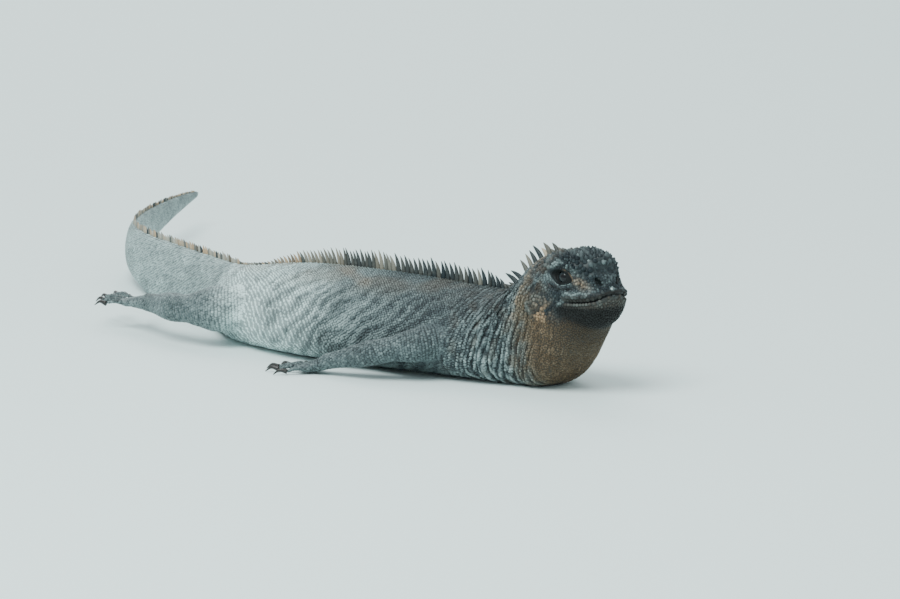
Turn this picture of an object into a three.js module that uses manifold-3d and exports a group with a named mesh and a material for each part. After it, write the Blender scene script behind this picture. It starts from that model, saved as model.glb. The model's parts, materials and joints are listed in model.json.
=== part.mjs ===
// A life-size marine iguana lying on its belly as it floats in the water: head raised and turned
// a little to its right, legs swept back, tail curving to its left.
// Millimetres, +Z up, head towards +X, the animal's left towards +Y.
import * as THREE from "three";
import { mergeVertices } from "three/addons/utils/BufferGeometryUtils.js";
import Module from "manifold-3d";

const wasm = await Module();
wasm.setup();

// Places along the spine, measured back from the snout tip
const OCCIPUT = 76;
const SHOULDERS = 152;
const NECK_END = 134;
const HIPS = 376;
const VENT = 400;
const TAIL_TIP = 1000;
const TAIL_CUTS = [VENT, 515, 640, 780, TAIL_TIP];
const NOSE_ROUNDING = 10;
const TIP_ROUNDING = 12;

// Fits and floor
const GAP = 0.3;
const FLOOR_SINK = 0.8;
const ROOT_SINK = 2.2;
const FAN_SIDES = 6;
const SHORT_EDGE = 0.12;
const SLIVER = 0.03;
const TIDY_PASSES = 6;

// Profiles along the spine: [station, value]
const HALF_WIDTH = [
  [0, 16], [10, 19.5], [20, 22.5], [30, 25.5], [40, 28.5], [52, 32], [64, 34], [76, 36], [90, 39],
  [104, 44], [125, 50], [152, 54], [200, 58], [250, 59], [300, 56], [345, 47], [376, 37], [400, 28],
  [440, 19.5], [500, 14.5], [600, 11], [700, 8.6], [800, 6.4], [900, 4.2], [1000, 1.8],
];
const TOP = [
  [0, 88], [4, 93], [8, 101.5], [12, 108], [17, 111.5], [26, 114], [38, 115], [52, 114], [64, 111.5],
  [76, 108], [86, 104], [95, 98], [104, 90.5], [112, 82.5], [120, 76], [130, 73], [150, 73],
  [200, 74.7], [250, 75.6], [300, 75], [350, 71.5], [375, 67.5], [400, 63.8], [440, 60], [500, 57.5],
  [560, 55.5], [620, 53], [700, 50], [780, 47], [860, 43], [930, 38.5], [1000, 32],
];
const BOTTOM = [
  [0, 64], [6, 60.5], [14, 56], [22, 50], [30, 42], [40, 30], [50, 18], [60, 8.5], [70, 2.5],
  [80, -FLOOR_SINK], [560, -FLOOR_SINK], [610, 0.8], [700, 7], [800, 15], [900, 22], [1000, 27],
];
const WIDEST = [
  [0, 83], [20, 82], [40, 76], [50, 68], [60, 58], [70, 50], [86, 41], [104, 35], [140, 31], [250, 29],
  [376, 28], [440, 26], [500, 25], [620, 24], [700, 25.5], [800, 29], [900, 30.5], [1000, 29.5],
];
// How square the back and the belly are: 2 is round
const TOP_POWER = [[0, 2.4], [40, 2.9], [70, 2.4], [100, 2], [150, 1.75], [300, 1.8], [400, 1.7], [1000, 1.7]];
const BELLY_POWER = [[0, 2.2], [20, 2.4], [34, 3.2], [60, 3.4], [90, 2.9], [330, 2.8], [400, 2.4], [1000, 2.2]];
// Heading in the plan, degrees to the animal's left
const HEADING = [
  [0, -14], [76, -14], [112, -8], [150, 0], [370, 0], [400, -20], [425, -32], [470, -31], [540, -30],
  [620, -33], [690, -43], [750, -57], [840, -64], [1000, -66],
];

// Swellings and hollows of the head: station, height, reach along, reach up, how far out
const HEAD_RELIEF = [
  { at: 40, height: 108, along: 15, up: 6, out: 3.2 },
  { at: 36, height: 97, along: 8.5, up: 6.5, out: -4.2 },
  { at: 21, height: 98, along: 7, up: 8, out: -1.2 },
  { at: 5, height: 95.5, along: 8, up: 8, out: -6 },
  { at: 27, height: 83.5, along: 20, up: 4, out: 2.2 },
  { at: 25, height: 74, along: 17, up: 4.5, out: 1.5 },
  { at: 57, height: 92, along: 9, up: 12, out: 2.2 },
  { at: 62, height: 74, along: 12, up: 9, out: 4.2 },
  { at: 48, height: 60, along: 14, up: 12, out: 2.4 },
];

// Head details
const MOUTH_LINE = [[-14, 86], [0, 85], [8, 82.5], [15, 80], [26, 77.5], [36, 76.5], [42, 78]];
const HEAD_FLOOR = 66;
const JAW_ANGLE = [[56, 73], [65, HEAD_FLOOR]];
const JAW_UNDERSIDE = [[52, 57], [36, 54], [28, 50], [24, 38], [-14, 38]];
const EYE = { station: 37, height: 96.5, radius: 6.8, inset: 4.0 };
const LID = { long: 9.2, tall: 6.2, radius: 1.5, sides: 14 };
const NOSTRIL = { station: 7, height: 94, radius: 1.7, rim: 2.8, depth: 4 };
const EAR = { station: 63, height: 84, radius: 4.6, depth: 1.8 };
const NECK_FOLDS = { from: 78, to: 142, pitch: 12.8, height: 1.7 };

// Crest spines, by stretch of the spine: [from, to, pitch, length at start, middle and end]
const NAPE_CREST = { from: 60, to: 119, pitch: 5.6, lengths: [6.5, 11, 12], chord: 4, thick: 2.2, rake: 4 };
const NECK_CREST = { from: 119, to: 134, pitch: 4.7, lengths: [5, 4, 7], chord: 3.8, thick: 1.9, rake: 14 };
const BACK_CREST = { from: 134, to: 398, pitch: 4.7, lengths: [11.5, 12.8, 6.5], chord: 4.1, thick: 2.1, rake: 15 };
const TAIL_CREST = { pitch: 9.2, chord: 6.6, thick: 1.9, rake: 30 };
const TAIL_SPINE_LENGTHS = [[400, 7], [500, 8.5], [640, 7.5], [800, 5.5], [960, 2.6]];

// Head tubercles
const TUBERCLES = { from: 5, to: 75, pitch: 6.8, spread: 74, low: 103, sides: 5 };

const SEED = 7;

// A repeatable stream of numbers from 0 to 1
function randomStream(seed) {
  let state = seed;
  return () => {
    state = (state + 0x6d2b79f5) | 0;
    let t = Math.imul(state ^ (state >>> 15), 1 | state);
    t = (t + Math.imul(t ^ (t >>> 7), 61 | t)) ^ t;
    return ((t ^ (t >>> 14)) >>> 0) / 4294967296;
  };
}

// Monotone cubic through a profile's points
function profile(points) {
  const n = points.length;
  const steps = points.slice(1).map((p, i) => (p[1] - points[i][1]) / (p[0] - points[i][0]));
  const slopes = points.map((_, i) => {
    if (i === 0) return steps[0];
    if (i === n - 1) return steps[n - 2];
    const product = steps[i - 1] * steps[i];
    return product <= 0 ? 0 : (2 * product) / (steps[i - 1] + steps[i]);
  });
  return (s) => {
    if (s <= points[0][0]) return points[0][1];
    if (s >= points[n - 1][0]) return points[n - 1][1];
    let i = 0;
    while (points[i + 1][0] < s) i += 1;
    const span = points[i + 1][0] - points[i][0];
    const t = (s - points[i][0]) / span;
    const rise = t * t * (3 - 2 * t);
    return (
      points[i][1] * (1 - rise) +
      points[i + 1][1] * rise +
      span * (slopes[i] * t * (1 - t) * (1 - t) - slopes[i + 1] * t * t * (1 - t))
    );
  };
}

const halfWidth = profile(HALF_WIDTH);
const topHeight = profile(TOP);
const bottomHeight = profile(BOTTOM);
const widestHeight = profile(WIDEST);
const topPower = profile(TOP_POWER);
const bellyPower = profile(BELLY_POWER);
const heading = profile(HEADING);
const tailSpineLength = profile(TAIL_SPINE_LENGTHS);

// The spine in the plan, one point a millimetre, from the snout tip to the tail tip
const plan = [new THREE.Vector2(VENT, 0)];
for (let s = 0; s < TAIL_TIP + 20; s += 1) {
  const angle = THREE.MathUtils.degToRad(heading(s + 0.5));
  plan.push(plan[s].clone().sub(new THREE.Vector2(Math.cos(angle), Math.sin(angle))));
}

function spineAt(s) {
  const clamped = Math.max(s, 0);
  const i = Math.floor(clamped);
  const point = plan[i].clone().lerp(plan[i + 1], clamped - i);
  const angle = THREE.MathUtils.degToRad(heading(s));
  const forward = new THREE.Vector3(Math.cos(angle), Math.sin(angle), 0);
  const left = new THREE.Vector3(-forward.y, forward.x, 0);
  const base = new THREE.Vector3(point.x, point.y, 0).addScaledVector(forward, clamped - s);
  return { base, forward, left };
}

const signedPower = (x, p) => Math.sign(x) * Math.abs(x) ** p;
const bell = (x) => Math.exp(-x * x);

// How much a section shrinks towards the rounded snout and tail tips
function endRounding(s) {
  const nose = Math.min(s / NOSE_ROUNDING, 1);
  const tip = Math.min((TAIL_TIP - s) / TIP_ROUNDING, 1);
  return Math.sqrt(Math.max(1 - (1 - nose) ** 2, 0) * Math.max(1 - (1 - tip) ** 2, 0));
}

function relief(s, height) {
  let out = 0;
  if (s < OCCIPUT + 20)
    for (const form of HEAD_RELIEF)
      out += form.out * bell((s - form.at) / form.along) * bell((height - form.height) / form.up);
  if (s > NECK_FOLDS.from && s < NECK_FOLDS.to) {
    const share = (s - NECK_FOLDS.from) / (NECK_FOLDS.to - NECK_FOLDS.from);
    const wave = Math.cos((2 * Math.PI * (s - NECK_FOLDS.from)) / NECK_FOLDS.pitch);
    out += NECK_FOLDS.height * wave * Math.sin(Math.PI * share);
  }
  return out;
}

// A section's sizes at one station; grown is extra skin all round
function section(s, grown = 0) {
  const shrink = endRounding(s);
  const middle = widestHeight(s);
  return {
    middle,
    width: Math.max(halfWidth(s) * shrink, 0.01) + grown,
    up: Math.max((topHeight(s) - middle) * shrink, 0.01) + grown,
    down: Math.max((middle - bottomHeight(s)) * shrink, 0.01) + grown,
  };
}

// A point of the skin, with its outward direction; angle 0 is the left side and 90 the back
function skinPoint(s, degrees, grown = 0) {
  const { base, forward, left } = spineAt(s);
  const size = section(s, grown);
  const angle = THREE.MathUtils.degToRad(degrees);
  const upper = Math.sin(angle) >= 0;
  const power = upper ? topPower(s) : bellyPower(s);
  const reach = upper ? size.up : size.down;
  const side = size.width * signedPower(Math.cos(angle), 2 / power);
  const height = size.middle + reach * signedPower(Math.sin(angle), 2 / power);
  const normal = new THREE.Vector2(Math.cos(angle) / size.width, Math.sin(angle) / reach).normalize();
  const swell = relief(s, height) * endRounding(s) * Math.abs(normal.x) ** 0.5;
  const point = base
    .clone()
    .addScaledVector(left, side + normal.x * swell)
    .setZ(height + normal.y * swell);
  const outward = left.clone().multiplyScalar(normal.x).setZ(normal.y);
  return { point, outward, forward, left };
}

// The skin's point on one side at a given height, found by halving
function skinAtHeight(s, height, leftSide) {
  let low = -89;
  let high = 89;
  for (let i = 0; i < 30; i += 1) {
    const middle = (low + high) / 2;
    if (skinPoint(s, middle).point.z < height) low = middle;
    else high = middle;
  }
  const angle = leftSide ? low : 180 - low;
  return skinPoint(s, angle);
}

// A closed geometry from rings of points, each with the same count, and its two flat or pointed ends
function loft(rings) {
  const count = rings[0].length;
  const points = rings.flat();
  const faces = [];
  rings.slice(1).forEach((_, r) => {
    for (let i = 0; i < count; i += 1) {
      const a = r * count + i;
      const b = r * count + ((i + 1) % count);
      faces.push(a, b, a + count, b, b + count, a + count);
    }
  });
  for (const end of [0, rings.length - 1]) {
    const first = end * count;
    if (count <= FAN_SIDES) {
      for (let i = 1; i < count - 1; i += 1)
        faces.push(first, ...(end === 0 ? [first + i + 1, first + i] : [first + i, first + i + 1]));
      continue;
    }
    const centre = points.length;
    points.push(rings[end].reduce((sum, p) => sum.add(p), new THREE.Vector3()).divideScalar(count));
    for (let i = 0; i < count; i += 1) {
      const a = first + i;
      const b = first + ((i + 1) % count);
      if (end === 0) faces.push(centre, b, a);
      else faces.push(centre, a, b);
    }
  }
  return new THREE.BufferGeometry().setFromPoints(points).setIndex(faces);
}

function solidFrom(geometry) {
  const plain = geometry.index ? geometry.toNonIndexed() : geometry.clone();
  plain.deleteAttribute("normal");
  plain.deleteAttribute("uv");
  const merged = mergeVertices(plain, 1e-3);
  const build = (triVerts) =>
    new wasm.Manifold(
      new wasm.Mesh({ numProp: 3, vertProperties: merged.attributes.position.array, triVerts }),
    );
  const faces = new Uint32Array(merged.index.array);
  const solid = build(faces);
  return solid.volume() > 0 ? solid : build(faces.reverse());
}

function geometryFrom(solid) {
  const mesh = solid.getMesh();
  const points = new Float32Array(mesh.numVert * 3);
  for (let i = 0; i < mesh.numVert; i += 1)
    points.set(mesh.vertProperties.subarray(i * mesh.numProp, i * mesh.numProp + 3), i * 3);
  return new THREE.BufferGeometry()
    .setAttribute("position", new THREE.BufferAttribute(points, 3))
    .setIndex(new THREE.BufferAttribute(mesh.triVerts, 1));
}

const largest = (solid) =>
  solid.decompose().reduce((best, piece) => (piece.volume() > best.volume() ? piece : best));
const joined = (solids) => largest(solids.reduce((sum, solid) => sum.add(solid)));

// Draws short edges together and turns needle triangles, so that no sliver of a join is left
function tidied(solid) {
  const geometry = geometryFrom(solid);
  const points = [];
  for (let i = 0; i < geometry.attributes.position.count; i += 1)
    points.push(new THREE.Vector3().fromBufferAttribute(geometry.attributes.position, i));
  const faces = [];
  const around = points.map(() => new Set());
  for (let i = 0; i < geometry.index.count; i += 3) {
    const face = [geometry.index.getX(i), geometry.index.getX(i + 1), geometry.index.getX(i + 2)];
    faces.push(face);
    face.forEach((v) => around[v].add(face));
  }
  const corners = (face) => face.map((v) => points[v]);
  const crossOf = ([a, b, c]) => b.clone().sub(a).cross(c.clone().sub(a));
  const longest = (face) => {
    const lengths = face.map((v, i) => points[v].distanceTo(points[face[(i + 1) % 3]]));
    return lengths.indexOf(Math.max(...lengths));
  };
  const altitude = (face) => {
    const i = longest(face);
    return crossOf(corners(face)).length() / points[face[i]].distanceTo(points[face[(i + 1) % 3]]);
  };
  const neighbours = (v) => new Set([...around[v]].flat().filter((other) => other !== v));
  const keepsFacing = (before, after) => {
    const old = crossOf(before);
    const now = crossOf(after);
    return old.length() < SLIVER * SLIVER || now.dot(old) > 0.1 * now.length() * old.length();
  };
  const live = (face) => around[face[0]].has(face);

  function drawTogether(from, to) {
    const shared = [...neighbours(from)].filter((v) => neighbours(to).has(v));
    if (shared.length !== 2) return false;
    const moved = [...around[from]].filter((face) => !face.includes(to));
    const swap = (face) => face.map((v) => (v === from ? to : v));
    if (!moved.every((face) => keepsFacing(corners(face), corners(swap(face))))) return false;
    for (const face of [...around[from]]) face.forEach((v) => around[v].delete(face));
    for (const face of moved.map(swap)) {
      faces.push(face);
      face.forEach((v) => around[v].add(face));
    }
    return true;
  }

  function turnEdge(face) {
    const i = longest(face);
    const [a, b, c] = [face[i], face[(i + 1) % 3], face[(i + 2) % 3]];
    const other = [...around[a]].find((f) => f !== face && f.includes(b));
    const d = other.find((v) => v !== a && v !== b);
    if (neighbours(c).has(d)) return;
    const made = [[a, d, c], [d, b, c]];
    if (!made.every((f) => keepsFacing(corners(other), corners(f)))) return;
    if (Math.min(...made.map(altitude)) < altitude(face)) return;
    for (const old of [face, other]) old.forEach((v) => around[v].delete(old));
    for (const f of made) {
      faces.push(f);
      f.forEach((v) => around[v].add(f));
    }
  }

  for (let pass = 0; pass < TIDY_PASSES; pass += 1) {
    for (const face of faces.filter(live))
      for (let i = 0; i < 3 && live(face); i += 1) {
        const [a, b] = [face[i], face[(i + 1) % 3]];
        if (points[a].distanceTo(points[b]) < SHORT_EDGE && !drawTogether(a, b)) drawTogether(b, a);
      }
    for (const face of faces.filter(live)) if (live(face) && altitude(face) < SLIVER) turnEdge(face);
  }
  const kept = faces.filter(live);
  return solidFrom(new THREE.BufferGeometry().setFromPoints(points).setIndex(kept.flat()));
}

// Everything below the floor, cut away so that what rests has flats at one level
const BELOW_FLOOR = solidFrom(new THREE.BoxGeometry(2400, 2400, 60).translate(0, 0, -30));
const aboveFloor = (solid) => largest(solid.subtract(BELOW_FLOOR));

function stations(from, to, pitch) {
  const count = Math.max(Math.round((to - from) / pitch), 1);
  return Array.from({ length: count + 1 }, (_, i) => from + ((to - from) * i) / count);
}

function bodyLength(places, sides, grown = 0) {
  const rings = places.map((s) =>
    Array.from({ length: sides }, (_, i) => skinPoint(s, (360 * i) / sides + 90, grown).point),
  );
  return solidFrom(loft(rings));
}

// A crest spine: a flat blade that tapers and leans back, standing on the middle of the back
function crestSpine(s, length, { chord, thick, rake }, lean) {
  const { point, forward, left } = skinPoint(s, 90);
  const slope = Math.atan2(topHeight(s - 2) - topHeight(s + 2), 4);
  const angle = THREE.MathUtils.degToRad(rake) + slope;
  const upward = forward.clone().multiplyScalar(-Math.sin(angle)).setZ(Math.cos(angle));
  const along = (share) =>
    point
      .clone()
      .addScaledVector(upward, -ROOT_SINK + (length + ROOT_SINK) * share)
      .addScaledVector(left, lean * share);
  const ring = (share, size) => {
    const centre = along(share);
    return [
      centre.clone().addScaledVector(forward, (chord / 2) * size),
      centre.clone().addScaledVector(left, (thick / 2) * size),
      centre.clone().addScaledVector(forward, (-chord / 2) * size),
      centre.clone().addScaledVector(left, (-thick / 2) * size),
    ];
  };
  return solidFrom(loft([ring(0, 1.05), ring(1, 0.16)]));
}

function crest(style, from, to, random, lengthAt) {
  const margin = style.chord / 2 + 1.2;
  return stations(from + margin, to - margin, style.pitch).map((s) => {
    const length = lengthAt(s) * (0.88 + 0.24 * random());
    return crestSpine(s, length, style, (random() - 0.5) * 1.2);
  });
}

// A length that eases from the first to the middle and last of three values
function easedLength({ from, to, lengths }) {
  return profile([
    [from, lengths[0]],
    [(from + to) / 2, lengths[1]],
    [to, lengths[2]],
  ]);
}

// Head, lower jaw and neck are one shape, parted in side view by three outlines across the head
const head0 = spineAt(0);
function acrossHead(outline) {
  const shape = new THREE.Shape(outline.map(([s, z]) => new THREE.Vector2(-s, z)));
  const prism = new THREE.ExtrudeGeometry(shape, { depth: 160, bevelEnabled: false });
  const turned = new THREE.Matrix4().makeBasis(head0.forward, new THREE.Vector3(0, 0, 1), head0.left.clone().negate());
  return solidFrom(prism.translate(0, 0, -80).applyMatrix4(turned).translate(head0.base.x, head0.base.y, 0));
}

const shifted = (line, lift, back = 0) => line.map(([s, z]) => [s + back, z + lift]);
const HALF_GAP = GAP / 2 + 0.05;
const LIP_PARTING = 0.3;
const behindHead = OCCIPUT + 60;

function headVolume() {
  return acrossHead([
    ...shifted(MOUTH_LINE, LIP_PARTING),
    ...shifted(JAW_ANGLE, HALF_GAP, HALF_GAP),
    [OCCIPUT, HEAD_FLOOR],
    [OCCIPUT, 150],
    [-14, 150],
  ]);
}

function jawVolume() {
  return acrossHead([
    ...shifted(MOUTH_LINE, -LIP_PARTING),
    ...shifted(JAW_ANGLE, -HALF_GAP, -HALF_GAP),
    ...shifted(JAW_UNDERSIDE, HALF_GAP, -HALF_GAP),
  ]);
}

function throatVolume() {
  return acrossHead([
    ...shifted([...JAW_UNDERSIDE].reverse(), -HALF_GAP, HALF_GAP),
    [JAW_ANGLE[1][0], HEAD_FLOOR - 2 * HALF_GAP],
    [OCCIPUT + GAP, HEAD_FLOOR - 2 * HALF_GAP],
    [OCCIPUT + GAP, 150],
    [behindHead, 150],
    [behindHead, -20],
    [-14, -20],
  ]);
}

const HEAD_STATIONS = [0, 1.2, 3.5, 7, 11.5, 16, 21, 26, 31, 36, 41, 46, 51.5, 57.5, 64, 70, 76, 81, 86];
const headBlock = bodyLength([...HEAD_STATIONS, ...stations(91.5, NECK_END - GAP, 5.2)], 28);

// A low cone on the skin: a head tubercle
function tubercle(place, radius, height, sides) {
  const { point, outward, forward } = place;
  const across = forward.clone().cross(outward).normalize();
  const along = outward.clone().cross(across).normalize();
  const ring = (size, lift) =>
    Array.from({ length: sides }, (_, i) => {
      const angle = (2 * Math.PI * i) / sides;
      return point
        .clone()
        .addScaledVector(along, radius * size * Math.cos(angle))
        .addScaledVector(across, radius * size * Math.sin(angle))
        .addScaledVector(outward, lift);
    });
  return solidFrom(loft([ring(1.15, -1.2), ring(0.24, height)]));
}

function headTubercles(random) {
  const made = [];
  stations(TUBERCLES.from, TUBERCLES.to, TUBERCLES.pitch).forEach((s, row) => {
    const across = Math.max(halfWidth(s) * endRounding(s), 6) * 1.25;
    const step = THREE.MathUtils.radToDeg(TUBERCLES.pitch / across);
    const count = Math.floor(TUBERCLES.spread / step);
    for (let i = -count; i <= count; i += 1) {
      const degrees = 90 + (i + (row % 2) / 2) * step + (random() - 0.5) * 4;
      const place = skinPoint(s + (random() - 0.5) * 1.6, degrees);
      const front = bell((s - 20) / 26);
      const size = 0.82 + 0.3 * random();
      if (place.point.z > TUBERCLES.low)
        made.push(tubercle(place, (3.4 + 0.4 * front) * size, (2.0 + 2.2 * front) * size, TUBERCLES.sides));
    }
  });
  return made;
}

// A closed ring of round section through points, such as an eyelid
function ringTube(centres, radius, sides) {
  const middle = centres.reduce((sum, p) => sum.add(p), new THREE.Vector3()).divideScalar(centres.length);
  const points = centres.flatMap((centre, i) => {
    const next = centres[(i + 1) % centres.length];
    const before = centres[(i + centres.length - 1) % centres.length];
    const tangent = next.clone().sub(before).normalize();
    const inward = middle.clone().sub(centre).projectOnPlane(tangent).normalize();
    const aside = tangent.clone().cross(inward);
    return Array.from({ length: sides }, (_, j) => {
      const angle = (2 * Math.PI * j) / sides;
      return centre
        .clone()
        .addScaledVector(inward, radius * Math.cos(angle))
        .addScaledVector(aside, radius * Math.sin(angle));
    });
  });
  const faces = [];
  for (let i = 0; i < centres.length; i += 1)
    for (let j = 0; j < sides; j += 1) {
      const a = i * sides + j;
      const b = i * sides + ((j + 1) % sides);
      const c = ((i + 1) % centres.length) * sides + j;
      const d = ((i + 1) % centres.length) * sides + ((j + 1) % sides);
      faces.push(a, b, c, b, d, c);
    }
  return solidFrom(new THREE.BufferGeometry().setFromPoints(points).setIndex(faces));
}

function eyePlace(leftSide) {
  const { point, outward, forward } = skinAtHeight(EYE.station, EYE.height, leftSide);
  const flat = outward.clone().setZ(outward.z * 0.4).normalize();
  return { centre: point.clone().addScaledVector(flat, -EYE.inset), outward: flat, forward };
}

function eyelid(leftSide) {
  const { centre, outward, forward } = eyePlace(leftSide);
  const up = outward.clone().cross(forward).normalize();
  if (up.z < 0) up.negate();
  const along = forward.clone().projectOnPlane(outward).normalize();
  const around = Array.from({ length: LID.sides }, (_, i) => {
    const angle = (2 * Math.PI * i) / LID.sides;
    const across = new THREE.Vector3()
      .addScaledVector(along, LID.long * Math.cos(angle))
      .addScaledVector(up, LID.tall * Math.sin(angle));
    return centre
      .clone()
      .add(across)
      .addScaledVector(outward, EYE.inset - 0.4 - 1.2 * Math.cos(angle) ** 2);
  });
  return ringTube(around, LID.radius, 6);
}

// A short cylinder along a direction, for pits and rims
function plug(place, radius, from, to, sides) {
  const length = to - from;
  const turn = new THREE.Quaternion().setFromUnitVectors(new THREE.Vector3(0, 1, 0), place.outward);
  const centre = place.point.clone().addScaledVector(place.outward, from + length / 2);
  const geometry = new THREE.CylinderGeometry(radius, radius, length, sides);
  return solidFrom(geometry.applyQuaternion(turn).translate(centre.x, centre.y, centre.z));
}

function skull(random) {
  const added = headTubercles(random);
  const crestLength = easedLength(NAPE_CREST);
  added.push(...crest(NAPE_CREST, NAPE_CREST.from, OCCIPUT - GAP, random, crestLength));
  let solid = headBlock;
  for (const leftSide of [true, false]) {
    const nostril = skinAtHeight(NOSTRIL.station, NOSTRIL.height, leftSide);
    added.push(eyelid(leftSide), plug(nostril, NOSTRIL.rim, -2, 0.9, 10));
  }
  solid = added.reduce((sum, piece) => sum.add(piece), solid);
  for (const leftSide of [true, false]) {
    const { centre } = eyePlace(leftSide);
    const socket = new THREE.IcosahedronGeometry(EYE.radius + GAP + 0.1, 2);
    const ear = skinAtHeight(EAR.station, EAR.height, leftSide);
    const nostril = skinAtHeight(NOSTRIL.station, NOSTRIL.height, leftSide);
    solid = solid
      .subtract(solidFrom(socket.translate(centre.x, centre.y, centre.z)))
      .subtract(plug(ear, EAR.radius, -EAR.depth, 6, 12))
      .subtract(plug(nostril, NOSTRIL.radius, -NOSTRIL.depth, 4, 8));
  }
  return largest(solid.intersect(headVolume()));
}

function eyeball(leftSide) {
  const { centre } = eyePlace(leftSide);
  return solidFrom(new THREE.IcosahedronGeometry(EYE.radius, 2).translate(centre.x, centre.y, centre.z));
}

function neck(random) {
  const nape = crest(NAPE_CREST, OCCIPUT + GAP, NAPE_CREST.to, random, easedLength(NAPE_CREST));
  const low = crest(NECK_CREST, NECK_CREST.from, NECK_CREST.to, random, easedLength(NECK_CREST));
  return aboveFloor(joined([headBlock.intersect(throatVolume()), ...nape, ...low]));
}

const TRUNK_STATIONS = stations(NECK_END, VENT - GAP, 13);
const TRUNK_SIDES = 24;
const TAIL_PITCH = 15;
const TAIL_SIDES = 12;

function torso(random) {
  const trunk = bodyLength(TRUNK_STATIONS, TRUNK_SIDES);
  const spines = crest(BACK_CREST, BACK_CREST.from, BACK_CREST.to, random, easedLength(BACK_CREST));
  return aboveFloor(joined([trunk, ...spines]));
}

function tailLength(from, to, random) {
  const end = to === TAIL_TIP ? to : to - GAP;
  const places = stations(from, end, TAIL_PITCH);
  if (to === TAIL_TIP) places.splice(places.length - 1, 1, TAIL_TIP - 5, TAIL_TIP - 1, TAIL_TIP);
  const stop = to === TAIL_TIP ? TAIL_TIP - 30 : end;
  const spines = crest(TAIL_CREST, from, stop, random, tailSpineLength);
  return aboveFloor(joined([bodyLength(places, TAIL_SIDES), ...spines]));
}

// The trunk and tail base with a gap all round, which the legs are cut clear of
const LEG_CLEARANCE = GAP + 0.1;
const besideLegs = bodyLength(
  [NECK_END - 10, ...TRUNK_STATIONS, VENT + 1],
  TRUNK_SIDES,
  LEG_CLEARANCE,
).add(bodyLength(stations(VENT, TAIL_CUTS[1] - GAP, TAIL_PITCH), TAIL_SIDES, LEG_CLEARANCE));

// Legs: joints of the limb as [back from the girdle, out from the middle, height]
const HIND_LEG = {
  girdle: HIPS,
  lift: 18,
  bend: [[0, 16, 33], [-26, 36, 32], [-52, 42, 30], [-84, 33, 28], [-114, 20, 26]],
  radii: [[0, 13], [0.1, 18], [0.25, 19], [0.42, 14], [0.52, 11.5], [0.64, 12], [0.85, 8.5], [1, 7.4]],
  joint: 0.5,
  palm: { length: 27, width: 12.5, thick: 5.2 },
  toes: [
    { turn: 30, back: 4, side: 0.86, length: 17 },
    { turn: 15, back: 0, side: 0.48, length: 26 },
    { turn: 5, back: -1, side: 0.05, length: 36 },
    { turn: -6, back: 0, side: -0.4, length: 44 },
    { turn: -26, back: 9, side: -0.8, length: 25 },
  ],
};
const FORE_LEG = {
  girdle: SHOULDERS,
  lift: 0,
  bend: [[0, 30, 34], [-22, 57, 30], [-46, 73, 25], [-76, 79, 17], [-104, 82, 10]],
  radii: [[0, 10], [0.12, 13.5], [0.3, 14], [0.47, 10], [0.6, 10.5], [0.88, 7], [1, 6.4]],
  joint: 0.47,
  palm: { length: 18, width: 11.5, thick: 5 },
  toes: [
    { turn: 34, back: 5, side: 0.86, length: 14 },
    { turn: 17, back: 1, side: 0.46, length: 20 },
    { turn: 3, back: 0, side: 0.03, length: 24 },
    { turn: -12, back: 1, side: -0.44, length: 22 },
    { turn: -30, back: 5, side: -0.86, length: 14 },
  ],
};
const LEFT_HIND_SPREAD = 50;
const TOE = { base: 3.5, tip: 2.5, rise: 2.6, sides: 6 };
const CLAW = { length: 10.5, width: 2.1, sides: 5 };

// A limb's middle line in the body's frame, on the right side or mirrored to the left
function limbPath(leg, leftSide, spread) {
  const origin = spineAt(leg.girdle);
  const turn = THREE.MathUtils.degToRad(leftSide ? -spread : 0);
  const points = leg.bend.map(([x, y, z]) => {
    const along = new THREE.Vector2(x, leftSide ? y : -y).rotateAround(
      new THREE.Vector2(0, leftSide ? leg.bend[0][1] : -leg.bend[0][1]),
      turn,
    );
    return origin.base.clone().add(new THREE.Vector3(along.x, along.y, z));
  });
  return new THREE.CatmullRomCurve3(points, false, "centripetal");
}

// Rings of an oval section square to a curve, kept level
function tubeRings(curve, places, sides, sizesAt) {
  return places.map((t) => {
    const centre = curve.getPoint(t);
    const tangent = curve.getTangent(t);
    const level = new THREE.Vector3(0, 0, 1).cross(tangent).normalize();
    const up = tangent.clone().cross(level);
    const [wide, tall] = sizesAt(t);
    return Array.from({ length: sides }, (_, i) => {
      const angle = (2 * Math.PI * i) / sides;
      return centre
        .clone()
        .addScaledVector(level, wide * Math.cos(angle))
        .addScaledVector(up, tall * Math.sin(angle));
    });
  });
}

// A block behind a place, square to a direction, that trims a piece a gap short of it
function behind(place, direction) {
  const block = new THREE.BoxGeometry(60, 60, 60).translate(0, 0, -30 + GAP);
  const turn = new THREE.Quaternion().setFromUnitVectors(new THREE.Vector3(0, 0, 1), direction);
  return solidFrom(block.applyQuaternion(turn).translate(place.x, place.y, place.z));
}

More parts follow.
